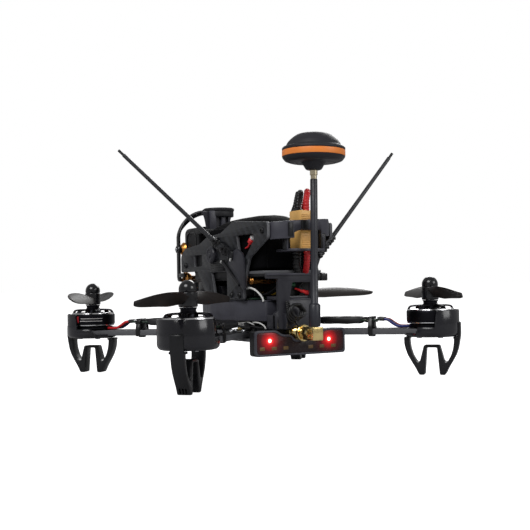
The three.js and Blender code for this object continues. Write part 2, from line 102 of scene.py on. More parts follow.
# ---- outlines ------------------------------------------------------------------------------
def softened(points, radius, steps=4, closed=True):
    """The outline with each corner turned into a short curve."""
    made = []
    count = len(points)
    for i, p in enumerate(points):
        corner = Vector(p)
        if not closed and i in (0, count - 1):
            made.append(corner)
            continue
        before, after = Vector(points[i - 1]), Vector(points[(i + 1) % count])
        a = corner + (before - corner).normalized() * min(radius, (before - corner).length * 0.48)
        b = corner + (after - corner).normalized() * min(radius, (after - corner).length * 0.48)
        for k in range(steps + 1):
            t = k / steps
            made.append(a * (1 - t) ** 2 + corner * 2 * t * (1 - t) + b * t * t)
    return made


def rounded_box(x0, x1, y0, y1, radius, steps=4):
    """A rectangle's outline with rounded corners."""
    return softened([(x0, y0), (x1, y0), (x1, y1), (x0, y1)], radius, steps)


def mirrored(half):
    """An outline from its right half, listed from bottom to top."""
    return list(half) + [(-u, v) for u, v in reversed(half)]


def arc(centre, radius, start, end, steps=12):
    """Points along an arc, with its angles in degrees."""
    angles = [math.radians(start + (end - start) * k / steps) for k in range(steps + 1)]
    return [(centre[0] + radius * math.cos(a), centre[1] + radius * math.sin(a)) for a in angles]


def smooth_path(points, per=8):
    """A Catmull-Rom curve through the points."""
    p = [Vector(q) for q in points]
    p = [p[0] * 2 - p[1]] + p + [p[-1] * 2 - p[-2]]
    made = []
    for i in range(1, len(p) - 2):
        for k in range(per):
            t = k / per
            made.append(0.5 * (
                2 * p[i] + (p[i + 1] - p[i - 1]) * t
                + (2 * p[i - 1] - 5 * p[i] + 4 * p[i + 1] - p[i + 2]) * t * t
                + (3 * p[i] - p[i - 1] - 3 * p[i + 1] + p[i + 2]) * t ** 3))
    made.append(p[-2])
    return made


def bezier(a, b, c, d, steps=14):
    """Points along a cubic curve."""
    a, b, c, d = (Vector(p) for p in (a, b, c, d))
    curve = [a * (1 - t) ** 3 + b * 3 * t * (1 - t) ** 2 + c * 3 * t * t * (1 - t) + d * t ** 3
             for t in (k / steps for k in range(steps + 1))]
    return [tuple(p) for p in curve]


def share(value, low, high):
    """How far a value is from low to high, kept between 0 and 1."""
    return max(0.0, min(1.0, (value - low) / (high - low)))


# ---- mesh builders: each returns a bmesh in mm ----------------------------------------------
def skinned(rings, caps=True):
    """A body from rings of points, one after another. A ring of one point closes to that point."""
    bm = bmesh.new()
    made = [[bm.verts.new(p) for p in ring] for ring in rings]
    for low, high in zip(made, made[1:]):
        around = max(len(low), len(high))
        if around == 1:
            continue
        for k in range(around):
            n = (k + 1) % around
            corners = low[k % len(low)], low[n % len(low)], high[n % len(high)], high[k % len(high)]
            bm.faces.new(dict.fromkeys(corners))
    if caps:
        for end in (made[0], made[-1]):
            if len(end) > 1:
                bm.faces.new(end)
    bmesh.ops.recalc_face_normals(bm, faces=bm.faces)
    return bm


def lathe(profile, segments=48, hex_from=None):
    """A body turned about Z from [radius, height] points. From hex_from on it is six-sided."""
    sixth = math.pi / 3
    rings = []
    for i, (r, h) in enumerate(profile):
        if abs(r) < 1e-6:
            rings.append([(0, 0, h)])
            continue
        ring = []
        for k in range(segments):
            a = TURN * k / segments
            here = r
            if hex_from is not None and i >= hex_from:
                here = r / math.cos((a % sixth) - sixth / 2) * math.cos(sixth / 2)
            ring.append((here * math.cos(a), here * math.sin(a), h))
        rings.append(ring)
    bm = skinned(rings, caps=False)
    bmesh.ops.remove_doubles(bm, verts=bm.verts, dist=1e-5)
    bmesh.ops.recalc_face_normals(bm, faces=bm.faces)
    return bm


def eased_lathe(profile, ease, steps, segments):
    """A body turned from an open profile with softened corners."""
    return lathe(softened(profile, ease, steps, closed=False), segments)


def ring_lathe(profile, segments=48):
    """A turned ring: the profile is closed and stays off the axis."""
    return lathe(list(profile) + [profile[0]], segments)


def block(x0, x1, y0, y1, z0, z1, bevel=0.4, steps=2):
    """A box with rounded edges."""
    bm = bmesh.new()
    bmesh.ops.create_cube(bm, size=1)
    size = Matrix.Diagonal((abs(x1 - x0), abs(y1 - y0), abs(z1 - z0), 1))
    bm.transform(Matrix.Translation(((x0 + x1) / 2, (y0 + y1) / 2, (z0 + z1) / 2)) @ size)
    if bevel:
        most = 0.45 * min(abs(x1 - x0), abs(y1 - y0), abs(z1 - z0))
        bmesh.ops.bevel(bm, geom=bm.edges[:], offset=min(bevel, most), segments=steps,
                        profile=0.5, affect="EDGES")
    return bm


def from_curve(curve):
    """A curve's mesh as a bmesh, with its seams welded."""
    holder = bpy.data.objects.new("holder", curve)
    SCENE.collection.objects.link(holder)
    bpy.context.view_layer.update()
    mesh = bpy.data.meshes.new_from_object(holder.evaluated_get(bpy.context.evaluated_depsgraph_get()))
    bm = bmesh.new()
    bm.from_mesh(mesh)
    bpy.data.objects.remove(holder)
    bpy.data.curves.remove(curve)
    bpy.data.meshes.remove(mesh)
    bmesh.ops.remove_doubles(bm, verts=bm.verts, dist=1e-4)
    bmesh.ops.recalc_face_normals(bm, faces=bm.faces)
    return bm


def signed_area(points):
    return sum(a[0] * b[1] - b[0] * a[1] for a, b in zip(points, points[1:] + points[:1])) / 2


def plate(outline, low, high, holes=(), chamfer=0.35, plane="XY"):
    """A flat plate with chamfered edges and holes. plane says what the outline's axes are."""
    curve = bpy.data.curves.new("plate", "CURVE")
    curve.dimensions = "2D"
    curve.fill_mode = "BOTH"
    curve.extrude = (high - low) / 2 - chamfer
    curve.bevel_depth = chamfer
    curve.bevel_resolution = 1
    curve.offset = -chamfer
    for i, points in enumerate([outline, *holes]):
        ring = [tuple(p) for p in points]
        if (signed_area(ring) > 0) == (i > 0):
            ring.reverse()
        spline = curve.splines.new("POLY")
        spline.points.add(len(ring) - 1)
        for point, (u, v) in zip(spline.points, ring):
            point.co = (u, v, 0, 1)
        spline.use_cyclic_u = True
    bm = from_curve(curve)
    middle = (low + high) / 2
    turns = {
        "XY": Matrix(((1, 0, 0, 0), (0, 1, 0, 0), (0, 0, 1, middle), (0, 0, 0, 1))),
        "YZ": Matrix(((0, 0, 1, middle), (1, 0, 0, 0), (0, 1, 0, 0), (0, 0, 0, 1))),
        "XZ": Matrix(((1, 0, 0, 0), (0, 0, -1, middle), (0, 1, 0, 0), (0, 0, 0, 1))),
    }
    bm.transform(turns[plane])
    return bm


def swept(path, radii, sides):
    """A round tube with closed ends, with one ring at each point of the path."""
    last = len(path) - 1
    rings = []
    side = None
    for i, (p, r) in enumerate(zip(path, radii)):
        ahead = (path[min(i + 1, last)] - path[max(i - 1, 0)]).normalized()
        side = ahead.orthogonal() if side is None else side - ahead * side.dot(ahead)
        side.normalize()
        up = ahead.cross(side)
        angles = [TURN * k / sides for k in range(sides)]
        rings.append([p + side * r * math.cos(a) + up * r * math.sin(a) for a in angles])
    return skinned(rings)


def tube(points, radius, sides=12, taper=(1, 1)):
    """A round tube along a smooth path. taper gives each end's share of the radius."""
    path = smooth_path(points)
    shares = [i / (len(path) - 1) for i in range(len(path))]
    return swept(path, [radius * (taper[0] * (1 - t) + taper[1] * t) for t in shares], sides)


def ribbed_tube(points, radius, pitch):
    """A lead whose soft sleeve shows its strands as shallow rings."""
    path = smooth_path(points, 40)
    lengths = [0.0]
    for a, b in zip(path, path[1:]):
        lengths.append(lengths[-1] + (b - a).length)
    count = int(lengths[-1] / (pitch / 5))
    spots, radii = [], []
    i = 0
    for k in range(count + 1):
        want = lengths[-1] * k / count
        while i < len(lengths) - 2 and lengths[i + 1] < want:
            i += 1
        part = (want - lengths[i]) / max(1e-9, lengths[i + 1] - lengths[i])
        spots.append(path[i].lerp(path[i + 1], part))
        radii.append(radius * (0.94 + 0.06 * math.cos(TURN * want / pitch / 2)))
    return swept(spots, radii, 18)


def rod(start, end, radius, segments=32, edge=0.25, end_radius=None):
    """A turned rod with eased ends between two points."""
    a, b = Vector(start), Vector(end)
    length = (b - a).length
    far = radius if end_radius is None else end_radius
    bm = lathe([(0, 0), (radius - edge, 0), (radius, edge), (far, length - edge), (far - edge, length),
                (0, length)], segments)
    return aimed(bm, a, b)


def aimed(bm, start, end):
    """Turns a body that stands on Z so that it runs from start towards end."""
    a, b = Vector(start), Vector(end)
    bm.transform(Matrix.Translation(a) @ (b - a).to_track_quat("Z", "Y").to_matrix().to_4x4())
    return bm


def merged(*parts):
    """Several bmeshes as one."""
    whole = bmesh.new()
    for part in parts:
        mesh = bpy.data.meshes.new("part")
        part.to_mesh(mesh)
        whole.from_mesh(mesh)
        bpy.data.meshes.remove(mesh)
        part.free()
    return whole


def copies(make, places):
    """The same body made at each place."""
    made = []
    for place in places:
        bm = make()
        bm.transform(place)
        made.append(bm)
    return merged(*made)


def shift(x, y, z):
    return Matrix.Translation((x, y, z))


def spun(degrees, axis="Z"):
    return Matrix.Rotation(math.radians(degrees), 4, axis)


def screw_head(radius=1.5, tall=1.1):
    """A socket button head that stands on z = 0."""
    return lathe([
        (radius, 0), (radius, tall * 0.25), (radius * 0.86, tall * 0.75), (radius * 0.6, tall),
        (radius * 0.42, tall), (radius * 0.4, tall * 0.35), (0, tall * 0.35),
    ], 24, hex_from=4)


# ---- pieces ---------------------------------------------------------------------------------
def placed(name, bm, material, body="airframe", stands_for=(), place=None, smooth=38):
    """Makes an object from a bmesh in mm and heights, in the row frame, riding on its body."""
    if place is not None:
        bm.transform(place)
    bm.transform(Matrix.Translation((0, 0, GROUND)) @ Matrix.Scale(MM, 4))
    bm.normal_update()
    for face in bm.faces:
        face.smooth = True
    for edge in bm.edges:
        edge.smooth = len(edge.link_faces) == 2 and edge.calc_face_angle(4) < math.radians(smooth)
    mesh = bpy.data.meshes.new(name)
    bm.to_mesh(mesh)
    bm.free()
    piece = bpy.data.objects.new(name, mesh)
    SCENE.collection.objects.link(piece)
    for one in material if isinstance(material, (list, tuple)) else [material]:
        mesh.materials.append(one)
    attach(piece, body)
    if stands_for:
        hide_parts(*stands_for)
    return piece


def cut_out(piece, tool):
    """Takes a bmesh tool, in mm and heights, away from a finished piece."""
    tool.transform(Matrix.Translation((0, 0, GROUND)) @ Matrix.Scale(MM, 4))
    mesh = bpy.data.meshes.new("tool")
    tool.to_mesh(mesh)
    tool.free()
    cutter = bpy.data.objects.new("tool", mesh)
    SCENE.collection.objects.link(cutter)
    modifier = piece.modifiers.new("cut", "BOOLEAN")
    modifier.object = cutter
    modifier.operation = "DIFFERENCE"
    modifier.solver = "EXACT"
    bpy.context.view_layer.update()
    result = bpy.data.meshes.new_from_object(piece.evaluated_get(bpy.context.evaluated_depsgraph_get()))
    piece.modifiers.clear()
    old = piece.data
    piece.data = result
    result.name = piece.name
    bpy.data.meshes.remove(old)
    bpy.data.objects.remove(cutter)
    bpy.data.meshes.remove(mesh)


# ---- materials ------------------------------------------------------------------------------
class Graph:
    """A small helper for building a material's nodes."""

    def __init__(self, name):
        self.material = bpy.data.materials.new(name)
        self.material.use_nodes = True
        self.tree = self.material.node_tree
        self.shader = self.tree.nodes["Principled BSDF"]
        self.place = self.node("ShaderNodeTexCoord").outputs["Object"]

    def node(self, kind, inputs=None, **settings):
        made = self.tree.nodes.new(kind)
        for key, value in settings.items():
            setattr(made, key, value)
        for key, value in (inputs or {}).items():
            if isinstance(value, bpy.types.NodeSocket):
                self.tree.links.new(value, made.inputs[key])
            else:
                made.inputs[key].default_value = value
        return made

    def link(self, socket, target):
        self.tree.links.new(socket, self.shader.inputs[target])

    def set(self, **values):
        for key, value in values.items():
            self.shader.inputs[key.replace("_", " ")].default_value = value

    def noise(self, scale, detail=3.0, rough=0.55, stretch=None):
        place = self.place
        if stretch:
            place = self.node("ShaderNodeMapping", {"Vector": place, "Scale": stretch}).outputs[0]
        return self.node("ShaderNodeTexNoise", {
            "Vector": place, "Scale": scale, "Detail": detail, "Roughness": rough}).outputs["Fac"]

    def ramp(self, fac, stops):
        made = self.node("ShaderNodeValToRGB", {"Fac": fac})
        elements = made.color_ramp.elements
        while len(elements) < len(stops):
            elements.new(0.5)
        for element, (position, colour) in zip(elements, stops):
            element.position = position
            element.color = (*colour, 1)
        return made.outputs["Color"]

    def tones(self, fac, dark, light, start=0.3, end=0.7):
        return self.ramp(fac, [(start, dark), (end, light)])

    def scaled(self, fac, low, high, start=0.3, end=0.7):
        return self.node("ShaderNodeMapRange", {
            "Value": fac, "From Min": start, "From Max": end, "To Min": low, "To Max": high}).outputs[0]

    def maths(self, operation, a, b=0.0, c=0.0):
        return self.node("ShaderNodeMath", {0: a, 1: b, 2: c}, operation=operation).outputs[0]

    def mix(self, fac, a, b):
        made = self.node("ShaderNodeMix", data_type="RGBA")
        for index, value in ((0, fac), (6, a), (7, b)):
            if isinstance(value, bpy.types.NodeSocket):
                self.tree.links.new(value, made.inputs[index])
            else:
                made.inputs[index].default_value = value if index == 0 else (*value, 1)
        return made.outputs[2]

    def bump(self, height, depth, strength=1.0, after=None):
        inputs = {"Height": height, "Distance": depth * MM, "Strength": strength}
        if after is not None:
            inputs["Normal"] = after
        return self.node("ShaderNodeBump", inputs).outputs["Normal"]


def shade(colour, factor):
    return tuple(min(1.0, c * factor) for c in colour)


def moulded_plastic(name, colour, roughness=0.42, grain=0.02, coat=0.0, spread=0.18):
    """Injection-moulded plastic: fine grain, slow changes of tone and gloss, faint flow marks."""
    g = Graph(name)
    fine = g.noise(2600, 2)
    g.link(g.tones(g.noise(70, 4), shade(colour, 1 - spread), shade(colour, 1 + spread)), "Base Color")
    g.link(g.scaled(g.noise(240, 4), roughness - 0.06, roughness + 0.09), "Roughness")
    flow = g.bump(g.noise(420, 3, stretch=(1, 1, 0.25)), 0.03, 0.5)
    g.link(g.bump(fine, grain, 0.7, flow), "Normal")
    g.set(Specular_IOR_Level=0.38)
    if coat:
        g.set(Coat_Weight=coat, Coat_Roughness=0.12)
    return g.material


def metal(name, colour, roughness=0.25, brushed=(1, 1, 30), depth=0.01):
    """Machined metal: fine turning lines, small changes of tone."""
    g = Graph(name)
    lines = g.noise(900, 2, stretch=brushed)
    tone = g.tones(g.noise(160, 3), shade(colour, 0.82), shade(colour, 1.08), 0.25, 0.75)
    g.link(tone, "Base Color")
    g.link(g.scaled(lines, roughness - 0.07, roughness + 0.1), "Roughness")
    g.link(g.bump(lines, depth, 0.6), "Normal")
    g.set(Metallic=1.0)
    return g.material


def carbon(name, across="XY", tow=1.7):
    """Twill-woven carbon sheet with a satin skin and lighter, layered cut edges; the cut edges' grey is
    partly their own colour and partly a painted highlight.
    """
    g = Graph(name)
    split = g.node("ShaderNodeSeparateXYZ", {"Vector": g.place})
    u = g.maths("MULTIPLY", split.outputs[across[0]], 1 / (tow * MM))
    v = g.maths("MULTIPLY", split.outputs[across[1]], 1 / (tow * MM))
    step = g.maths("SUBTRACT", g.maths("FLOOR", u), g.maths("FLOOR", v))
    over = g.maths("LESS_THAN", g.maths("FLOORED_MODULO", step, 4.0), 2.0)
    under = g.maths("SUBTRACT", 1.0, over)
    along = g.maths("ADD", g.maths("MULTIPLY", over, u), g.maths("MULTIPLY", under, v))
    strand = g.maths("ABSOLUTE", g.maths("SUBTRACT", g.maths("FRACT", along), 0.5))
    crown = g.maths("SUBTRACT", 0.5, g.maths("POWER", strand, 2.0))
    warp = g.tones(g.noise(300, 3), (0.007, 0.0075, 0.009), (0.013, 0.014, 0.017))
    weft = g.tones(g.noise(260, 3), (0.018, 0.019, 0.023), (0.030, 0.032, 0.038))
    face = g.mix(over, warp, weft)
    geometry = g.node("ShaderNodeTexCoord").outputs["Normal"]
    normal = g.node("ShaderNodeSeparateXYZ", {"Vector": geometry})
    thin = ({"X", "Y", "Z"} - set(across)).pop()
    facing = g.maths("ABSOLUTE", normal.outputs[thin])
    # the cut edges, where the sheet faces sideways: their lighter grey is partly their own colour and partly
    # a painted highlight
    edge = g.scaled(facing, 1.0, 0.0, 0.2, 0.75)
    layers = g.node("ShaderNodeTexWave", {"Vector": g.place, "Scale": 520.0, "Distortion": 1.5},
                    bands_direction=thin).outputs["Fac"]
    cut = g.tones(layers, (0.060, 0.061, 0.068), (0.16, 0.162, 0.175), 0.2, 0.8)
    g.link(g.mix(edge, face, cut), "Base Color")
    g.link(g.maths("ADD", g.scaled(over, 0.30, 0.46, 0, 1), g.maths("MULTIPLY", edge, 0.15)), "Roughness")
    g.link(g.bump(crown, 0.06, 0.55, g.bump(g.noise(2400, 2), 0.01, 0.5)), "Normal")
    g.set(Specular_IOR_Level=0.4, Coat_Weight=0.12, Coat_Roughness=0.2)
    return g.material


def smoked(name):
    """The propellers' thin smoked plastic, which lets a little light through."""
    g = Graph(name)
    g.link(g.tones(g.noise(45, 3), (0.016, 0.0135, 0.013), (0.030, 0.025, 0.023)), "Base Color")
    g.link(g.scaled(g.noise(60, 3), 0.34, 0.48), "Roughness")
    g.link(g.bump(g.noise(120, 2), 0.02, 0.4), "Normal")
    g.set(Transmission_Weight=0.05, IOR=1.4, Specular_IOR_Level=0.25)
    return g.material


def glowing(name, colour, strength):
    """A lamp that glows evenly, with slight changes of tone."""
    g = Graph(name)
    g.link(g.tones(g.noise(600, 2), shade(colour, 0.9), colour), "Base Color")
    g.set(Emission_Color=(*colour, 1), Emission_Strength=strength, Roughness=0.3)
    return g.material


def red_window(name, centres, reach):
    """The tail light's smoked cover, which glows red round each lamp behind it."""
    g = Graph(name)
    total = None
    for centre in centres:
        away = g.node("ShaderNodeVectorMath", {0: g.place, 1: centre}, operation="DISTANCE")
        near = g.scaled(away.outputs["Value"], 1.0, 0.0, 0.0, reach)
        near = g.maths("POWER", g.maths("MAXIMUM", near, 0.0), 2.0)
        total = near if total is None else g.maths("ADD", total, near)
    g.link(g.tones(g.noise(200, 3), (0.014, 0.012, 0.013), (0.026, 0.021, 0.023)), "Base Color")
    glow = g.ramp(total, [(0.0, (0.0015, 0, 0)), (0.06, (0.006, 0, 0)), (0.3, (0.04, 0.0001, 0.0002)),
                          (0.62, (0.34, 0.001, 0.002)), (0.86, (1.0, 0.03, 0.03)), (1.0, (1.0, 0.62, 0.52))])
    g.link(glow, "Emission Color")
    g.link(g.scaled(g.noise(500, 3), 0.22, 0.32), "Roughness")
    g.set(Emission_Strength=1.4, Specular_IOR_Level=0.2, Coat_Weight=0.0)
    return g.material


def circuit(name):
    """A dark green board with small bright pads."""
    g = Graph(name)
    cells = g.node("ShaderNodeTexVoronoi", {"Vector": g.place, "Scale": 900.0}, distance="CHEBYCHEV")
    pads = g.maths("LESS_THAN", cells.outputs["Distance"], 0.16)
    base = g.tones(g.noise(500, 4), (0.006, 0.016, 0.010), (0.016, 0.045, 0.026), 0.35)
    g.link(g.mix(pads, base, (0.55, 0.52, 0.42)), "Base Color")
    g.link(g.maths("MULTIPLY", pads, 0.8), "Metallic")
    g.link(g.bump(cells.outputs["Distance"], 0.06, 0.4), "Normal")
    g.set(Roughness=0.35)
    return g.material


def braided(name, colour, roughness=0.5, pitch=1500, specular=0.5):
    """A soft sleeve or wrap: fine grain, with slow changes of tone."""
    g = Graph(name)
    g.link(g.tones(g.noise(130, 4), shade(colour, 0.8), shade(colour, 1.2)), "Base Color")
    g.link(g.scaled(g.noise(500, 3), roughness - 0.08, roughness + 0.08), "Roughness")
    g.link(g.bump(g.noise(pitch, 2), 0.02, 0.6), "Normal")
    g.set(Specular_IOR_Level=specular)
    return g.material


LAMPS = [(-19.3, 22.2), (17.6, 21.7)]  # the tail light's two lit lamps: x and height
CHIP_PLACES = [-23.9, -16.7, -9.6, 5.9, 13.0, 20.4]  # the unlit lamps' x

CARBON_FLAT = carbon("carbon_flat", "XY")
CARBON_SIDE = carbon("carbon_side", "YZ")
MOULDED = moulded_plastic("moulded_grey_black", (0.030, 0.030, 0.038), 0.36)
MOULDED_LIGHT = moulded_plastic("moulded_grey", (0.052, 0.052, 0.066), 0.40)
LEG_BLACK = moulded_plastic("leg_black", (0.0095, 0.0097, 0.0115), 0.30)
GLOSS_BLACK = moulded_plastic("gloss_black", (0.0055, 0.0055, 0.0072), 0.20, 0.006, coat=0.35)
SATIN_BLACK = moulded_plastic("satin_black", (0.0075, 0.0078, 0.0092), 0.38)
ANODISED = metal("black_anodised", (0.016, 0.016, 0.020), 0.36)
BRIGHT = metal("bright_aluminium", (0.83, 0.83, 0.85), 0.18)
STEEL = metal("steel", (0.62, 0.63, 0.66), 0.25)
GOLD = metal("gold_plate", (0.88, 0.68, 0.30), 0.16)
AMBER = metal("amber_anodised", (0.80, 0.36, 0.09), 0.28)
COPPER = metal("copper_wire", (0.72, 0.30, 0.13), 0.3, (30, 30, 1), 0.05)
SHRINK = braided("heat_shrink", (0.016, 0.016, 0.018), 0.40, 700)
TIE = moulded_plastic("zip_tie", (0.007, 0.007, 0.008), 0.32)
# white wires, and also the receivers' painted glints
WHITE = braided("white_wire_and_painted_glint", (0.72, 0.72, 0.70), 0.4)
RED = braided("red_silicone", (0.62, 0.016, 0.020), 0.42)
BLUE = braided("blue_silicone", (0.014, 0.018, 0.16), 0.42)
BLACK_WIRE = braided("black_silicone", (0.008, 0.008, 0.009), 0.45)
TAN = moulded_plastic("tan_nylon", (0.80, 0.46, 0.14), 0.40, 0.02, spread=0.12)
ORANGE = moulded_plastic("orange_band", (0.92, 0.27, 0.05), 0.40, 0.01, spread=0.08)
BATTERY_WRAP = braided("battery_wrap", (0.0035, 0.0035, 0.0042), 0.78, 300, specular=0.05)
MAST = braided("mast_sleeve", (0.020, 0.021, 0.028), 0.38, 900)
TUBE_BLACK = moulded_plastic("tube_black", (0.030, 0.031, 0.035), 0.30, 0.004)
CIRCUIT = circuit("circuit_board")
SMOKED = smoked("smoked_plastic")
GREEN = braided("green_silicone", (0.02, 0.12, 0.05), 0.42)
YELLOW = braided("yellow_silicone", (0.55, 0.36, 0.03), 0.42)
PALE_GOLD = metal("pale_brass", (0.80, 0.70, 0.50), 0.2)
HOOD_BLACK = moulded_plastic("hood_black", (0.012, 0.012, 0.015), 0.6, 0.002)
MUSHROOM_BLACK = moulded_plastic("mushroom_black", (0.017, 0.017, 0.022), 0.52, 0.003)
TAIL_RED = red_window("tail_red_window", [(x * MM, -0.0555, GROUND + h * MM) for x, h in LAMPS], 0.0125)
GUARD_BLACK = moulded_plastic("guard_black", (0.011, 0.011, 0.0145), 0.19, 0.008, coat=0.25)
GLASS = moulded_plastic("lens_glass", (0.004, 0.006, 0.012), 0.07, 0.002, coat=1.0)
LAMP_GLOW = glowing("lamp_glow", (1.0, 0.16, 0.12), 14.0)
DIM_LAMP = glowing("dim_lamp", (0.13, 0.075, 0.022), 0.10)
MARK_RED = moulded_plastic("mark_red", (0.42, 0.02, 0.03), 0.35)
MARK_WHITE = moulded_plastic("mark_white", (0.62, 0.60, 0.60), 0.35)


# ---- screws and wires -----------------------------------------------------------------------
def screws(name, radius, tall, places, material=STEEL, body="airframe", place=None):
    """Socket screw heads, one at each place."""
    heads = copies(lambda: screw_head(radius, tall), places)
    placed(name, heads, material, body, place=place)


def wire(name, points, radius, paint=BLACK_WIRE, taper=(1, 1), place=None):
    """A plain wire along a smooth path."""
    placed(name, tube(points, radius, taper=taper), paint, place=place)


# ---- motor stations -------------------------------------------------------------------------
def arm(corner, place):
    outline = [(-89, -7), (-60, -6.2), (-14, -6.2)]
    outline += arc((0, 0), 13.2, -118, 118, 28)
    outline += [(-14, 6.2), (-60, 6.2), (-89, 7)]
    holes = [arc((0, 0), 3, 0, 345, 23)]
    for turn in BOLT_TURNS:
        x = BOLT_CIRCLE * math.cos(math.radians(turn))
        y = BOLT_CIRCLE * math.sin(math.radians(turn))
        holes.append(arc((x, y), 1.6, 0, 330, 11))
    holes.append(rounded_box(-79, -70, -2.4, 2.4, 1.4))
    placed("arm_skin_" + corner, plate(outline, ARM_LOW, ARM_TOP, holes, 0.3), CARBON_FLAT,
           stands_for=["arm_" + corner], place=place)
    spots = [shift(x, y, ARM_TOP) for x in (-84, -76) for y in (-3.6, 3.6)]
    screws("arm_screws_" + corner, 1.6, 1.0, spots, place=place)


def guard_height(angle):
    """The guard wall's top at an angle from straight outwards, in degrees."""
    high, low, floor = 36.3, 27.0, 22.9
    a = abs(angle)
    if a < 72:
        return high
    if a < 78:
        return high - (high - low) * (1 - math.cos(math.pi / 2 * (a - 72) / 6))
    if a < 113:
        return low
    if a < 119:
        return low - (low - floor) * (1 - math.cos(math.pi / 2 * (a - 113) / 6))
    return floor


def guard(corner, place):
    """A cup: its wall is high outside, low beside the arm, and open where the arm comes in."""
    radius, wall, bottom, floor = 15.3, 1.3, 21.3, 22.4
    slopes = {*range(-120, -111), *range(-80, -70), *range(71, 81), *range(112, 121)}
    angles = sorted(slopes | set(range(-180, 180, 5)))
    rings = []
    for angle in angles:
        top = guard_height(angle)
        c, s = math.cos(math.radians(angle)), math.sin(math.radians(angle))
        profile = [
            (4.0, floor), (4.0, bottom + 0.3), (4.3, bottom), (radius - 2.6, bottom),
            (radius - 1.4, bottom + 0.3), (radius - 0.5, bottom + 1.1), (radius, bottom + 2.3),
            (radius, top - 0.45), (radius - 0.35, top), (radius - wall + 0.35, top),
            (radius - wall, top - 0.4), (radius - wall, floor + 0.35), (radius - wall - 0.4, floor),
        ]
        rings.append([(r * c, r * s, h) for r, h in profile])
    bm = skinned(rings + rings[:1], caps=False)
    bmesh.ops.remove_doubles(bm, verts=bm.verts, dist=1e-5)
    bmesh.ops.recalc_face_normals(bm, faces=bm.faces)
    placed("guard_shell_" + corner, bm, GUARD_BLACK, stands_for=["motor_guard_" + corner],
           place=place @ shift(SHIFT, 0, 0))
    spots = [spun(a) @ shift(BOLT_CIRCLE, 0, bottom) @ spun(180, "X") for a in BOLT_TURNS]
    screws("guard_screws_" + corner, 1.6, 0.7, spots, place=place)


def leg(corner, place):
    """The W-shaped spring frame, with a tab up the outside of the guard and grooves at its foot."""
    place = place @ shift(SHIFT, 0, 0)
    top = 21.0
    right_in = [(4.3, 16.6), (6.6, 7.9), (7.6, 6.9), (8.8, 7.8), (10.6, 11), (11.7, 14.5), (12.2, 18),
                (12.3, top)]
    right_out = [(15.2, 17.6), (14.6, 14.6), (13.4, 11.2), (11.4, 7.6), (9.2, 4.0), (7.2, 0), (4.2, 0),
                 (2.9, 15.2)]
    tab = [(14.1, top), (14.1, 29.4), (15.9, 29.4), (16.0, 27), (16.0, 22.4)]
    left_out = [(-r, h) for r, h in reversed(right_out)]
    left_in = [(-r, h) for r, h in reversed(right_in)]
    outline = right_in + tab + right_out + left_out + [(-15.3, top)] + left_in
    bm = plate(softened(outline, 0.8, 3), -3.5, 3.5, (), 0.45, "XZ")
    piece = placed("leg_frame_" + corner, bm, LEG_BLACK,
                   stands_for=["landing_leg_" + corner], place=place)
    grooves = merged(*[block(6.4, 12.0, y - 0.42, y + 0.42, -1, 3.4, 0) for y in (-1.55, 0, 1.55)])
    grooves.transform(place)
    cut_out(piece, grooves)
    pads = merged(*[block(x, x + 3.1, -4.4, 4.4, 20.0, 21.25) for x in (12.0, -15.1)])
    placed("leg_pads_" + corner, pads, LEG_BLACK, place=place)


def stator(corner, place):
    base = lathe([(2.7, 26.5), (11.9, 26.5), (12.3, 26.9), (12.3, 28.0), (11.8, 28.4), (7.4, 28.4),
                  (6.6, 29.0), (5.2, 29.2), (5.2, 34.8), (4.8, 35.1), (2.7, 35.1)], 48)
    placed("motor_base_" + corner, base, ANODISED,
           stands_for=["stator_" + corner], place=place)
    twelve = [spun(30 * k) for k in range(12)]
    teeth = copies(lambda: merged(block(5.1, 9.6, -0.9, 0.9, 30.0, 34.0, 0.1),
                                  block(9.5, 11.6, -2.5, 2.5, 29.8, 34.2, 0.3)), twelve)
    placed("stator_teeth_" + corner, teeth, STEEL, place=place)
    coils = copies(lambda: block(5.9, 9.5, -1.75, 1.75, 29.1, 34.9, 0.8, 3), twelve)
    placed("stator_coils_" + corner, coils, COPPER, place=place)


# where each bell's printed flash starts, and how far its stripes run, in degrees
BELL_MARKS = {"front_left": [(70, 62), (250, 62)], "front_right": [(10, 40), (190, 40)],
              "rear_left": [(30, 40), (210, 40)], "rear_right": [(120, 24), (300, 24)]}


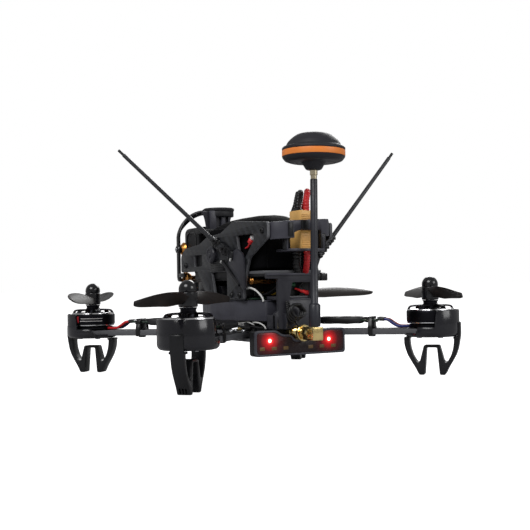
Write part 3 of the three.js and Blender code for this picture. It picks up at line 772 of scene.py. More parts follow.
def bell(corner, place, body):
    band = ring_lathe(softened([(12.2, 29.6), (13.0, 29.6), (13.4, 30.1), (13.4, 35.5), (13.0, 36.2),
                                (12.2, 36.2)], 0.25, 2), 72)
    placed("bell_band_" + corner, band, ANODISED, body, ["motor_bell_" + corner], place)
    rims = merged(
        ring_lathe([(12.1, 28.9), (12.9, 28.9), (13.15, 29.15), (13.15, 29.6), (12.1, 29.6)], 72),
        ring_lathe([(11.6, 36.2), (12.95, 36.2), (12.8, 36.75), (12.2, 37.0), (11.6, 36.8)], 72))
    placed("bell_rims_" + corner, rims, BRIGHT, body, place=place)
    rail = [(3.6, 0.9, 38.6), (7.0, 0.5, 38.7), (10.2, 0, 38.5), (11.6, 0, 37.9), (12.4, 0, 36.4)]
    spokes = copies(lambda: merged(*[tube([(x, y + side, h) for x, y, h in rail], 0.5, 8)
                                     for side in (-1.1, 0, 1.1)]), [spun(60 * k + 12) for k in range(6)])
    hub = lathe([(0, 35.4), (4.9, 35.4), (4.9, 38.2), (4.4, 38.9), (0, 38.9)], 40)
    placed("bell_spokes_" + corner, merged(spokes, hub), ANODISED, body, place=place)
    collar = ring_lathe([(2.5, 38.9), (4.3, 38.9), (4.3, 39.5), (3.9, 39.7), (3.9, 40.9), (4.3, 41.1),
                         (4.3, 41.6), (2.5, 41.6)], 40)
    placed("prop_collar_" + corner, collar, ANODISED, body, place=place)
    shaft = merged(lathe([(0, 38.8), (2.45, 38.8), (2.45, 53.2), (2.1, 53.5), (0, 53.5)], 40),
                   lathe([(0, 27.3), (2.35, 27.3), (2.35, 35.6), (0, 35.6)], 24))
    placed("motor_shaft_" + corner, shaft, STEEL, body, place=place)
    flashes = merged(*[bell_mark(start, 6, 31.0, 34.9) for start, _ in BELL_MARKS[corner]])
    placed("bell_marks_red_" + corner, flashes, MARK_RED, body, place=place)
    stripes = merged(*[bell_mark(start + 9 + gap, wide - gap, low, low + 0.35)
                       for start, wide in BELL_MARKS[corner] for low, gap in ((33.3, 4), (31.8, 2))])
    placed("bell_marks_white_" + corner, stripes, MARK_WHITE, body, place=place)


def bell_mark(start, wide, low, high):
    """A thin printed patch that wraps round the bell."""
    inner, outer = 13.38, 13.44
    steps = max(2, int(wide / 3))
    section = ((inner, low), (outer, low), (outer, high), (inner, high))
    angles = [math.radians(start + wide * k / steps) for k in range(steps + 1)]
    return skinned([[(r * math.cos(a), r * math.sin(a), h) for r, h in section] for a in angles])


def blade(turn):
    """A twisted blade with a crowned section and a blunt, rounded tip."""
    stations = [2.6, 4, 6, 8, 10, 13, 16, 20, 25, 30, 35, 40, 45, 50, 54, 57, 59.5, 61.3, 62.5, 63.15,
                BLADE_TIP]
    sides = 20
    rings = []
    for r in stations:
        root = share(r, 3, 22)
        root = root * root * (3 - 2 * root)
        tip = math.sqrt(max(0.0, 1 - (max(0.0, r - 20) / (BLADE_TIP - 19.85)) ** 3.8))
        chord = (6.0 + 4.4 * root) * tip
        thick = 2.1 + (0.75 - 2.1) * share(r, 2, 42)
        slope = math.radians(42 - 6 * share(r, 14, 63.5))
        sweep = 1.3 * math.sin(math.pi * share(r, 8, 63))
        ring = []
        for k in range(sides):
            a = TURN * k / sides
            along = chord / 2 * math.cos(a) + sweep
            s = math.sin(a)
            across = thick / 2 * s * (0.35 + 0.65 * abs(s)) + 0.5 * s ** 2
            y = along * math.cos(slope) - across * math.sin(slope)
            h = BLADE_HEIGHT + along * math.sin(slope) + across * math.cos(slope)
            ring.append((r, turn * y, h))
        rings.append(ring)
    return skinned(rings)


def propeller(corner, place, body, turn):
    angle = propeller_angle(corner, place)
    spin = place @ place.to_3x3().to_4x4().inverted() @ Matrix.Rotation(angle, 4, "Z")
    profile = [(2.55, 41.8), (4.3, 41.8), (4.7, 42.2), (4.7, 48.8), (4.4, 49.1), (2.55, 49.1)]
    hub = ring_lathe(softened(profile, 0.2, 2), 48)
    blades = merged(blade(turn), copies(lambda: blade(turn), [spun(180)]))
    placed("prop_blades_" + corner, blades, SMOKED, body, ["propeller_" + corner],
           spin, 50)
    placed("prop_hub_" + corner, hub, GLOSS_BLACK, body, place=spin)
    dome = [(0, 49.12), (4.3, 49.12), (4.5, 49.4), (4.5, 50.4)]
    for a in range(12, 90, 11):
        dome.append((4.5 * math.cos(math.radians(a)), 50.4 + 4.65 * math.sin(math.radians(a))))
    dome += [(0, 55.08)]
    placed("nut_dome_" + corner, lathe(dome, 48), GLOSS_BLACK, body, ["prop_nut_" + corner], spin, 60)


def propeller_angle(corner, place):
    """Which way the blades point: the middle of one tip of the CAD propeller."""
    centre = place.to_translation() * MM
    spread = [v.co - centre for v in frame["nodes"]["propeller_" + corner].data.vertices]
    far = max(spread, key=lambda d: d.xy.length)
    tip = [d for d in spread if d.xy.dot(far.xy) > 0.98 * far.xy.length_squared]
    middle = sum(tip, Vector()) / len(tip)
    return math.atan2(middle.y, middle.x)


def controller(corner, place):
    """A speed controller: a shrink-wrapped board, its solder end, three motor wires and a clip."""
    stations = [-63.5, -62.6, -61, -57, -52, -47, -43, -40, -38.6, -37.6, -37.2]
    swell = [0.55, 0.82, 0.95, 1.0, 0.97, 1.02, 0.98, 0.93, 0.82, 0.62, 0.5]
    sides = 24
    rings = []
    for x, grow in zip(stations, swell):
        ring = []
        for k in range(sides):
            a = TURN * k / sides
            c, s = math.cos(a), math.sin(a)
            y = 5.6 * grow * math.copysign(abs(c) ** 0.45, c)
            z = 31.0 + 2.3 * grow * math.copysign(abs(s) ** 0.55, s) + 0.12 * math.sin(x * 0.8 + k)
            ring.append((x, y, z))
        rings.append(ring)
    placed("controller_sleeve_" + corner, skinned(rings), SHRINK,
           stands_for=["speed_controller_" + corner], place=place, smooth=60)
    board = block(-39, -28.6, -4.8, 4.8, 30.4, 31.5, 0.15)
    placed("controller_board_" + corner, board, CIRCUIT, place=place)
    parts = [block(x, x + w, y, y + d, 31.4, 31.4 + h, 0.15) for x, y, w, d, h in (
        (-37.0, -4.2, 2.6, 3.4, 1.3), (-36.6, 0.6, 2.0, 3.2, 1.0), (-33.6, -4.4, 2.2, 2.2, 1.5),
        (-33.4, -1.1, 2.2, 2.2, 1.5), (-33.6, 2.2, 2.2, 2.2, 1.5))]
    parts += [block(-36.4, -30.4, y, y + 2.4, 29.5, 30.5, 0.2) for y in (-4.2, -1.2, 1.8)]
    placed("controller_chips_" + corner, merged(*parts), SATIN_BLACK, place=place)
    rows = (-3.3, 0, 3.3)
    solder = [block(-30.8, -28.9, y - 0.9, y + 0.9, 31.3, 32.3, 0.5, 3) for y in rows]
    solder += [block(-35.2 + i, -34.5 + i, y, y + 0.8, 32.2, 32.9, 0.2) for i, y in ((0, -3.4), (0.4, 1.2))]
    placed("controller_solder_" + corner, merged(*solder), BRIGHT, place=place)
    sleeves = [rod((-29.6, y, 31.6), (-25.6, y * 0.9, 31.3), 1.15, 20, 0.3) for y in rows]
    placed("wire_joints_" + corner, merged(*sleeves), SHRINK, place=place)
    red_y = -3.3 if corner == "front_right" else 3.3
    for y, paint, tone in ((red_y, RED, "red"), (0, BLACK_WIRE, "black"), (-red_y, BLUE, "blue")):
        path = [(-26.4, y * 0.92, 31.3), (-23.6, y, 30.9), (-20.8, y * 1.15, 29.0), (-18.0, y * 1.2, 27.5),
                (-14.6, y * 1.1, 27.3), (-11.6, y * 0.95, 27.4)]
        wire(f"motor_wire_{tone}_{corner}", path, 0.78, paint, place=place)
    clip = merged(
        block(-35.0, -31.4, -2.4, 2.4, 26.2, 30.6, 0.3), block(-35.4, -31.0, -3.0, 3.0, 26.2, 27.3, 0.3),
        block(-35.0, -31.4, -1.9, 1.9, 21.4, 22.8, 0.5))
    placed("controller_clip_" + corner, clip, LEG_BLACK, place=place)
    outer = softened(mirrored([(7.4, 22.2), (7.4, 27.0), (5.4, 32.9)]), 1.2, 3)
    inner = softened(mirrored([(6.7, 22.6), (6.7, 26.8), (4.9, 32.2)]), 1.0, 3)
    tie = plate(outer, -34.4, -32.0, [inner], 0.15, "YZ")
    lock = block(-35.0, -31.4, 4.4, 6.6, 29.6, 32.0, 0.4)
    placed("controller_tie_" + corner, merged(tie, lock), TIE, place=place)


def build_stations():
    for corner, place in STATIONS.items():
        body = "rotor_" + corner
        turn = -1 if corner in ("front_left", "rear_right") else 1
        arm(corner, place)
        guard(corner, place)
        leg(corner, place)
        stator(corner, place)
        bell(corner, place, body)
        propeller(corner, place, body, turn)
        controller(corner, place)


# ---- lower body -----------------------------------------------------------------------------
def bottom_plate():
    half = [(13, -48.4), (20, -32), (20, 32), (14, 46)]
    holes = [arc((x, y), 1.6, 0, 330, 11) for x in (-15, 15) for y in (-24, 24)]
    holes += [rounded_box(-7, 7, y, y + 16, 3) for y in (-24, 8)]
    placed("floor_plate", plate(softened(mirrored(half), 4), 20.6, 22.4, holes, 0.25), CARBON_FLAT,
           stands_for=["bottom_plate"])
    screws("floor_screws", 1.5, 0.9, [shift(x, y, 22.4) for x in (-10, 10) for y in (-38, 38)])


def cover_outline(inset):
    half = [(14, -42), (20, -16), (20, 16), (14.5, 40)]
    return mirrored([(x - inset, y - inset * (1 if y > 0 else -1)) for x, y in half])


def lower_cover():
    outer = plate(softened(cover_outline(0), 1.6, 3), 32, COVER_TOP, (), 0.5)
    piece = placed("cover_shell", outer, MOULDED_LIGHT, stands_for=["lower_cover"])
    cut_out(piece, plate(softened(cover_outline(1.5), 1.2, 3), 30, COVER_TOP - 1.5, (), 0.1))
    lip = plate(softened(cover_outline(0), 1.6, 3), 42.3, 43.42,
                [softened(cover_outline(1.1), 1.2, 3)], 0.2)
    placed("cover_lip", lip, MOULDED_LIGHT)
    profile = [(0, 26.5), (2.4, 26.5), (2.4, 29), (1.7, 29.4), (1.7, 33), (0, 33)]
    posts = copies(lambda: eased_lathe(profile, 0.2, 2, 24),
                   [shift(x, y, 0) for x in (-15, 15) for y in (-15, 15)])
    placed("cover_posts", posts, GOLD)


def boards():
    """The boards inside the cover keep their CAD shape and only change their material."""
    for node, material in (("flight_controller", CIRCUIT), ("video_transmitter", SHRINK)):
        materials = frame["nodes"][node].data.materials
        materials.clear()
        materials.append(material)


build_stations()
bottom_plate()
lower_cover()
boards()


# ---- upper body -----------------------------------------------------------------------------
PLATE_OUTLINE = [
    (58, 61), (58, 71), (51.5, 75.9), (30, 77.5), (18, 81.5), (0, 82.5), (-17, 88.4), (-57.4, 85.4),
    (-57.4, 77), (-36, 67), (-33, 61), (-28.5, 49), (-28.5, 43.7), (-8, 43.7), (-8, 60), (13, 60), (8, 43.7),
    (18.5, 43.7), (33, 61),
]
SQUARE_WINDOW = [(38, 64), (26, 64), (26, 71), (38, 71)]
PLUG_WINDOW = [(-21, 80), (-23.5, 70), (-26, 57), (-28, 57), (-31, 67), (-42, 76.5), (-42, 80)]
PLATE_SCREWS = ((50, 65), (-52, 81), (-14, 46.5), (-24, 46.5), (13.5, 46.3))


def side_plate(name, side):
    inner, outer = (SIDE_IN, SIDE_OUT) if side > 0 else (-SIDE_OUT, -SIDE_IN)
    holes = [softened(w, 0.8, 3) for w in (SQUARE_WINDOW, PLUG_WINDOW)]
    holes += [arc(centre, 1.1, 0, 330, 11) for centre in PLATE_SCREWS]
    bm = plate(softened(PLATE_OUTLINE, 1.6, 4), inner, outer, holes, 0.4, "YZ")
    placed("side_skin_" + name, bm, CARBON_SIDE, stands_for=["side_plate_" + name])
    out = side * SIDE_OUT
    facing = spun(90 * side, "Y")
    spots = [shift(out, y, h) @ facing for y, h in PLATE_SCREWS]
    screws("side_screws_" + name, 1.7, 1.0, spots, SATIN_BLACK)
    boss = eased_lathe([(0, 0), (5.2, 0), (5.2, 1.6), (4.6, 2.6), (3.4, 2.9), (3.1, 2.5), (1.7, 2.5),
                        (1.5, 3.1), (0, 3.1)], 0.25, 3, 48)
    boss.transform(shift(out, 9.5, 70.3) @ facing)
    placed("side_boss_" + name, boss, MOULDED)
    lining = block(*sorted((side * 17.7, side * 18.3)), 18, 42, 60.2, 73, 0.2)
    skirt = block(*sorted((side * 17.9, side * 18.5)), -27, 41, 56.2, 61.2, 0.2)
    placed("side_lining_" + name, merged(lining, skirt), SATIN_BLACK)
    ribs = [block(out, out + side * 0.9, -5, 12.5, h, h + 0.75, 0.25) for h in (61.2, 62.6, 64.0, 65.4)]
    ribs.append(block(out, out + side * 0.4, -6, 13.5, 60.4, 66.8, 0.2))
    placed("side_grip_" + name, merged(*ribs), LEG_BLACK)


def upper_deck():
    outline = rounded_box(-18.3, 18.3, -48.6, 30, 1)
    holes = [rounded_box(x - 5, x + 5, y - 4, y + 4, 2) for x in (-9, 9) for y in (-20, -4, 12)]
    placed("deck_skin", plate(outline, 58, DECK_TOP, holes, 0.25), CARBON_FLAT,
           stands_for=["upper_deck"])
    rails = merged(*[block(side * 17.2, side * 18.4, -50, 29, 56.6, 58.1, 0.3) for side in (-1, 1)])
    placed("deck_rails", rails, SATIN_BLACK)


def standoffs():
    def standoff(name, y, height, radius, node):
        def ring(at):
            return rod((at - 0.5, y, height), (at + 0.5, y, height), radius + 0.3, 32, 0.2)
        barrel = rod((-18.3, y, height), (18.3, y, height), radius, 32, 0.3)
        placed(name, merged(barrel, ring(-16.8), ring(16.8)), AMBER, stands_for=[node])
    standoff("rear_spacer", -32, 54.3, 1.75, "rear_standoff")
    standoff("front_spacer", 57.6, 57.2, 1.8, "front_standoff")
    cones = []
    for side in (-1, 1):
        cone = eased_lathe([(0, 0), (4.3, 0), (4.5, 0.6), (3.0, 3.6), (2.0, 4.4), (0, 4.4)], 0.2, 2, 32)
        cones.append(aimed(cone, (side * 18.3, 57.6, 57.2), (side * 10, 57.6, 57.2)))
    placed("spacer_cones", merged(*cones), AMBER)


def wiring_bay():
    """What shows between the lower cover and the deck: receiver, regulator, wires."""
    receiver = block(-12.5, 9.5, -26, 4, 45.0, 53.5, 0.9, 3)
    placed("receiver_case", receiver, SATIN_BLACK)
    label = block(-8.5, 5.5, -21, -1, 53.4, 53.8, 0.15)
    placed("receiver_label", label, MOULDED_LIGHT)
    regulator = merged(block(-16, 15.5, 8, 26, 44.6, 52.0, 0.6), block(-17, 16.5, 30, 40, 44.6, 56, 0.8))
    placed("regulator_case", regulator, GLOSS_BLACK)
    board = block(-16.5, 16.5, -31, 28, 43.9, 44.9, 0.15)
    placed("bay_board", board, CIRCUIT)
    lid = block(-17.6, 17.6, -28.4, 41, 54.9, 56.4, 0.3)
    placed("bay_lid", lid, SATIN_BLACK)
    nose = merged(block(-15.5, 15.5, 41.5, 54, 45.5, 56.6, 1.2, 3),
                  block(-17.4, 17.4, 44, 52, 47.5, 54.5, 0.8))
    placed("bay_nose", nose, SATIN_BLACK)
    pin_starts = [-10.5 + 2.4 * i for i in range(8)]
    pins = merged(*[block(x, x + 1.2, -27.6, -25.9, 47, 48.2, 0.2) for x in pin_starts])
    placed("receiver_pins", pins, GOLD)
    path = [(-18.2, -28.6, 50.2), (-17.6, -31.5, 50.4), (-16.6, -35.4, 49.2), (-15.5, -38.6, 46.8),
            (-14.8, -40.4, 44.6), (-14.6, -41.0, 42.8)]
    wire("bay_wire_white", path, 0.55, WHITE)
    tones = (("dark", BLACK_WIRE), ("black", BLACK_WIRE), ("yellow", YELLOW))
    for i, (tone, paint) in enumerate(tones):
        path = [(-9 + 3 * i, -27, 47.6), (-9.5 + 3 * i, -31, 46.5), (-8 + 2.4 * i, -36, 47.8),
                (-6 + 2 * i, -42, 51.0), (-4 + 2 * i, -47, 55.0)]
        wire("bay_wire_" + tone, path, 0.6, paint)


def rear_bracket():
    left, right = -11.4, 12.4
    outline = [(left, 27.8), (right, 27.8), (right, 53.8), (18.3, 53.8), (18.3, 58.0), (-18.3, 58.0),
               (-18.3, 55.2), (left, 55.0)]
    hole = [(-4.2, 43.9), (-2.2, 53.0), (9.0, 53.0), (9.0, 43.9)]
    bm = plate(softened(outline, 0.5, 3), -51.8, -49.4, [softened(hole, 0.6, 3)], 0.35, "XZ")
    placed("bracket_face", bm, MOULDED, stands_for=["rear_bracket"])
    foot = plate(rounded_box(left, right, -50, -38, 1.2), 43.7, 45.6, (), 0.3)
    placed("bracket_foot", foot, MOULDED)
    brow = plate(rounded_box(-18.3, 18.3, 56.9, 58.1, 0.3), -52.4, -51.4, (), 0.25, "XZ")
    lip = block(-3.8, 8.6, -52.2, -50.6, 43.4, 44.1, 0.2)
    placed("bracket_brow", merged(brow, lip), MOULDED_LIGHT)
    knob = merged(block(13.2, 15.0, -53.2, -49.4, 54.4, 57.2, 0.3),
                  block(15.0, 19.2, -53.6, -49.2, 53.7, 57.8, 0.5))
    placed("bracket_knob", knob, SATIN_BLACK)
    step = [(-13.6, 27.8), (-11.0, 27.8), (-11.0, 38.2), (-13.6, 36.4)]
    mount = plate(softened(step, 0.4, 3), -51.6, -49.4, (), 0.3, "XZ")
    placed("tail_mount", mount, MOULDED)
    fins = merged(block(-8.6, -7.4, -54.6, -51.4, 27.8, 36.4, 0.3),
                  block(-13.6, -12.6, -53.0, -42.5, 27.8, 35.6, 0.3))
    placed("tail_mount_fins", fins, MOULDED)
    wires = (
        ("red", RED, 1.5, [(2.6, -45.6, 49.6), (5.2, -47.0, 48.6), (8.0, -48.0, 47.4), (12.0, -48.0, 46.6)]),
        ("green", GREEN, 1.0, [(-4, -45, 52), (-1.5, -45.6, 51.6), (2.4, -45.4, 51.8)]),
        ("dark", BLACK_WIRE, 1.3,
         [(7.8, -45.5, 53), (5.0, -46.5, 50.5), (7.0, -47.6, 47.2), (6.4, -46, 45.9)]),
    )
    for tone, paint, radius, points in wires:
        wire("bracket_wire_" + tone, points, radius, paint, taper=(0.3, 1.2))
    back = block(-6.5, 17.4, -43.5, -42.7, 44.4, 57.6, 0.3)
    placed("bracket_back", back, SATIN_BLACK)


def band_outline(reach, half_width):
    """One side of the connector guard's band, from left to right, as a bulging curve."""
    start, lean = -56.4, half_width - 1.0
    handle = start - reach
    return bezier((-half_width, start), (-lean, handle), (lean, handle), (half_width, start), 28)


def connector_guard():
    outline = band_outline(10.6, 18.3) + list(reversed(band_outline(8.0, 16.3)))
    bm = plate(outline, 77, 86.4, (), 0.4)
    tilt = 0.06  # the band climbs a little from left to right
    for v in bm.verts:
        v.co.z += tilt * v.co.x
    piece = placed("guard_band", bm, MOULDED_LIGHT, stands_for=["connector_guard"])
    notch = [(-7.4, 70), (-7.4, 79.4), (-4.0, 81.0), (9.5, 81.0), (9.5, 70)]
    cut_out(piece, plate(notch, -72, -50, (), 0.01, "XZ"))
    chamfer = [(13.2, 90), (16.0, 87.1), (18.6, 83.6), (22, 83.6), (22, 90)]
    cut_out(piece, plate(chamfer, -72, -50, (), 0.01, "XZ"))
    tabs = merged(*[block(side * 16.4, side * 18.3, -57, -52.5, 77.6 + side, 86.0 + side, 0.35)
                    for side in (-1, 1)])
    placed("guard_tabs", tabs, MOULDED)
    # dark blocks on the band's face: painted shade standing in for its recesses
    painted_recess_shade = merged(block(-3.6, 0.6, -64.9, -63.9, 81.2, 86.0, 0.3),
                    block(-10.9, -8.3, -64.2, -62.9, 77.4, 84.8, 0.3))
    placed("guard_painted_recess_shade", painted_recess_shade, SATIN_BLACK)
    hole = rounded_box(-1.4, 6.4, -60.6, -48, 1)
    shelf = plate(rounded_box(-9.6, 12.2, -63.8, -46, 2), 69.6, 71, [hole], 0.3)
    placed("guard_shelf", shelf, MOULDED_LIGHT)
    spots = ((-9.6, -58.2), (11.0, -61.8))
    posts = merged(*[block(x - 1.6, x + 1.6, y - 1.4, y + 1.4, 70.6, 79, 0.4) for x, y in spots])
    # a thin lighter strip down the camera side of each black post: a painted highlight
    ribs = merged(*[block(x - 0.4, x + 0.4, y - 1.8, y, 70.6, 78.4, 0.2) for x, y in spots])
    placed("guard_posts", posts, SATIN_BLACK)
    placed("guard_post_painted_highlights", ribs, MOULDED_LIGHT)
    screws("guard_screws", 1.4, 0.8, [shift(x, -54.5, 71) for x in (-6.6, 10.0)])


def battery():
    """A wrapped pack: rounded upright corners, a pillowed top that sinks to its edges, and a seam."""
    half_x, rear, front, low, high = 17.0, -45.0, 25.0, 60.2, 91.8
    middle, half_y = (rear + front) / 2, (front - rear) / 2
    levels = [(0.0, 0.90), (0.02, 0.97), (0.06, 1.0), (0.45, 1.0), (0.78, 1.0), (0.85, 0.985), (0.90, 0.96),
              (0.94, 0.91), (0.968, 0.84), (0.986, 0.73), (0.996, 0.55), (0.999, 0.33), (1.0, 0.0)]
    around = 96
    rings = []
    for t, grow in levels:
        height = low + (high - low) * t
        if grow == 0:
            rings.append([(0, middle, height)])
            continue
        ring = []
        for k in range(around):
            a = TURN * k / around
            c, s = math.cos(a), math.sin(a)
            x = half_x * grow * math.copysign(abs(c) ** 0.22, c)
            y = half_y * grow * math.copysign(abs(s) ** 0.13, s)
            ends = 2.2 * (abs(y) / half_y) ** 4
            sides = 6.5 * (x / half_x) ** 2
            rear_edge = 7.0 * share(-y, 15, 35) ** 2
            sag = share(t, 0.8, 1.0) * grow * min(ends + sides + rear_edge, 9.0)
            dent = 0.12 * math.sin(height * 0.9 + x * 0.3) if 0.06 < t < 0.8 else 0.0
            ring.append((x - math.copysign(abs(dent), x), middle + y, height - sag))
        rings.append(ring)
    placed("battery_wrap", skinned(rings), BATTERY_WRAP, stands_for=["battery_pack"],
           smooth=60)
    seam = tube([(-13.5, -44.6, 61), (-13.9, -44.9, 68), (-13.5, -44.9, 78), (-13.9, -44.6, 86)], 0.35)
    placed("battery_seam", seam, BATTERY_WRAP)


def nylon_half(low, high):
    """One half of the power connector: a smooth body with fine grip lines on its rear face."""
    x0, x1, y0, y1 = -1.7, 6.7, -60.2, -48.6
    body = plate(rounded_box(x0, x1, y0 + 0.25, y1, 0.8, 4), low, high, (), 0.4)
    lines = [block(x0 + 1.0, x1 - 1.0, y0, y0 + 0.6, h, h + 0.5, 0.15)
             for h in (low + 1.2 + 0.95 * i for i in range(int((high - low - 2) / 0.95)))]
    return merged(body, *lines)


def power_connector():
    placed("socket_body", nylon_half(70.2, 80.9), TAN, stands_for=["power_socket"])
    placed("plug_body", nylon_half(81.3, 91.8), TAN, stands_for=["battery_plug"])
    collar = rod((1.9, -51.8, 91.4), (1.9, -51.8, 93.4), 3.1, 24, 0.6, 2.4)
    placed("plug_collar", collar, BLACK_WIRE)
    leads = (
        ("lead_red", RED, "wire_red", ["battery_lead_red"], 1.75, 0.8,
         [(3.5, -58.4, 91.7), (3.5, -58.4, 97), (5.3, -56.6, 101.2), (8.4, -51.4, 102.6), (11.4, -45, 99.2),
          (12.8, -38, 90.6)]),
        ("lead_black", BLACK_WIRE, "wire_black", ["battery_lead_black"], 1.6, 0.8,
         [(2.2, -51.6, 92.4), (2.3, -51.6, 96), (3.1, -51.5, 100.4), (4.4, -50.6, 102.3),
          (5.9, -48.5, 101.4), (7.6, -44, 97.3), (8.6, -38, 90.6)]),
        ("lead_sense", BLACK_WIRE, "wire_black", (), 1.0, 0.7,
         [(0.6, -50.8, 92.2), (0.9, -50.8, 96), (1.8, -50.8, 99.8), (3.0, -50.0, 101.9), (4.2, -47.2, 101.2),
          (5.2, -43.4, 96.6), (5.6, -38, 90.6)]),
        ("socket_lead_red", RED, "wire_red", (), 1.75, 0.8,
         [(3.4, -58.2, 70.6), (3.6, -57.8, 66), (4.7, -55.2, 61.6), (6.4, -51.2, 58.8), (7.0, -49.6, 56)]),
        ("socket_lead_black", BLACK_WIRE, "wire_black", (), 2.4, 0.9,
         [(1.2, -51.4, 70.6), (0.6, -51.8, 66), (0.9, -51.4, 62), (2.4, -50.4, 59.0)]),
    )
    for name, paint, slot, nodes, radius, pitch, points in leads:
        placed(name, ribbed_tube(points, radius, pitch), paint, stands_for=nodes)


def balance_plug():
    """The battery's balance plug, seen through the side plate's window."""
    shell = rod((-17.6, -32.6, 75.2), (-17.6, -35.0, 77.4), 1.9, 24, 0.6)
    placed("balance_shell", shell, RED)
    cap = rod((-17.6, -35.0, 77.4), (-17.6, -36.4, 78.8), 1.6, 24, 0.4)
    placed("balance_cap", cap, MARK_WHITE)
    path = [(-17.7, -32.8, 75.4), (-17.8, -30.6, 73.6), (-17.8, -29.0, 72.9), (-17.4, -26.6, 72.6)]
    wire("balance_lead", path, 0.55, RED)


# ---- nose -----------------------------------------------------------------------------------
def hoop_outline(inset):
    w, bottom, shoulder, top = 20.2 - inset, 55 + inset, 84, 101.8 - inset
    right = [(w - 3, bottom), (w - 1, bottom + 0.4), (w - 0.3, bottom + 1.2), (w, bottom + 3)]
    right += bezier((w, shoulder), (w - 1, shoulder + 8), (w - 9, top), (0, top))
    return right + [(-u, v) for u, v in reversed(right[:-1])]


def on_tilt_axis(x):
    return (x, TILT_Y, TILT_HEIGHT)


def front_hoop():
    bm = plate(hoop_outline(0), 62.4, 66, [hoop_outline(1.6)], 0.45, "XZ")
    placed("hoop_frame", bm, GLOSS_BLACK, stands_for=["front_hoop"], smooth=50)
    outer = [p for p in hoop_outline(0.1) if p[1] > 84]
    reach = len(outer) - 1
    swell = [max(0.0, math.sin(math.pi * i / reach)) ** 0.7 for i in range(reach + 1)]
    inner = [(x * (1 - 0.12 * k), h - 0.3 - 3.0 * k) for k, (x, h) in zip(swell, outer)]
    brow = plate(outer + inner[::-1], 62.6, 64.6, (), 0.3, "XZ")
    placed("hoop_brow", brow, GLOSS_BLACK)
    lugs = merged(*[block(side * 18.7, side * 20.2, 54.5, 63.2, 58, 60.6, 0.4) for side in (-1, 1)])
    placed("hoop_lugs", lugs, GLOSS_BLACK)
    bosses = []
    for side in (-1, 1):
        boss = ring_lathe([(1.5, 0), (2.8, 0), (2.8, 1.5), (2.4, 2.0), (1.5, 2.0)], 32)
        bosses.append(aimed(boss, on_tilt_axis(side * 18.6), on_tilt_axis(side * 30)))
    placed("hoop_bosses", merged(*bosses), GLOSS_BLACK)


def camera_hood():
    """A cap that runs back from the hoop to a round end, on a dark web and light posts."""
    cap = [(4.2, 62.1), (-4.2, 62.1)] + arc((0, 44), 9.9, 174, 366, 28)
    placed("hood_cap", plate(cap, 98.9, 101.2, (), 0.9), HOOD_BLACK,
           stands_for=["camera_hood"])
    rim = arc((0, 44), 9.5, 178, 362, 26) + arc((0, 44), 8.2, 362, 178, 26)
    placed("hood_skirt", plate(rim, 95.6, 99.1, (), 0.5), HOOD_BLACK)
    base = plate(rounded_box(-18.3, 18.3, 30, 40.6, 1.5), 84.4, 87.3, (), 0.4)
    placed("hood_base", base, SATIN_BLACK)
    posts = ((-9.3, -5.0, 36.6, 0.5), (-1.4, 1.4, 36.9, 0.4), (3.4, 4.6, 37.2, 0.3))
    posts = merged(*[block(x0, x1, y, 38.8, 86.8, 99.2, bevel) for x0, x1, y, bevel in posts])
    placed("hood_posts", posts, MOULDED_LIGHT)
    left = bezier((-14.2, 98.9), (-12.4, 96.4), (-11.3, 92.8), (-11.0, 86.9), 8)
    right = [(-x - 5.9, h) for x, h in left]
    web = plate(right + left[::-1], 38.9, 40.4, (), 0.5, "XZ")
    placed("hood_web", web, MOULDED)


def camera_pod():
    shell = plate(rounded_box(-15.2, 15.2, 66.5, 89.5, 4.5, 6), 42, 64, (), 1.1, "XZ")
    placed("pod_shell", shell, SATIN_BLACK, "camera", ["camera_housing"])
    outline = rounded_box(45.5, 60.4, 69.6, 86.4, 4, 5)
    opening = rounded_box(46.5, 59.4, 70.6, 85.4, 3.4, 5)
    rings = [plate(outline, *sorted((side * 15.0, side * 15.65)), [opening], 0.2, "YZ") for side in (-1, 1)]
    placed("pod_rings", merged(*rings), GLOSS_BLACK, "camera")
    backplate = plate(rounded_box(-11, 11, 70, 80, 2, 4), 41.7, 42.3, (), 0.2, "XZ")
    placed("pod_backplate", backplate, GLOSS_BLACK, "camera")
    profile = [(0, 0), (4.4, 0), (4.6, 0.5), (3.6, 1.6), (2.3, 2.9), (1.9, 2.9), (0, 2.9)]
    cones = [aimed(eased_lathe(profile, 0.15, 2, 36), on_tilt_axis(side * 15.3), on_tilt_axis(side * 30))
             for side in (-1, 1)]
    placed("pod_cones", merged(*cones), AMBER, "camera")
    stubs = merged(*[rod(on_tilt_axis(side * 17.5), on_tilt_axis(side * 21.5), 1.2, 24, 0.3)
                     for side in (-1, 1)])
    placed("pod_stubs", stubs, STEEL, "camera")
    barrel = eased_lathe([
        (0, 0), (8.5, 0), (8.5, 2.6), (7.9, 3.3), (7.2, 3.5), (7.2, 6.6), (6.9, 6.8), (7.2, 7.1),
        (7.2, 8.3), (6.7, 9.1), (6.1, 9.1), (5.2, 7.6), (4.4, 7.2), (0, 7.2)], 0.12, 2, 64)
    forward = shift(*LENS_PLACE) @ spun(-90, "X")
    placed("lens_barrel", barrel, GLOSS_BLACK, "camera", ["camera_lens"], forward)
    glass = lathe([(0, 6.9), (5.0, 6.9), (5.0, 7.4), (4.2, 8.2), (3.0, 8.8), (1.5, 9.15), (0, 9.25)], 48)
    placed("lens_glass", glass, GLASS, "camera", place=forward, smooth=60)
    spots = [shift(x, 63.9, h) @ spun(-90, "X") for x in (-12, 12) for h in (70, 86)]
    screws("pod_screws", 1.0, 0.5, spots, body="camera")


# ---- tail light and antennas ----------------------------------------------------------------
def tail_outline(inset):
    w, bottom, top = 28.1 - inset, 13.9 + inset, 27.6 - inset
    half = [(w, bottom), (w, top), (15 + inset / 2, top), (11.5 + inset / 2, 25.1 - inset),
            (6, 25.1 - inset), (3.6 + inset, 22.1 - inset)]
    return softened(mirrored(half), 2.0, 5)


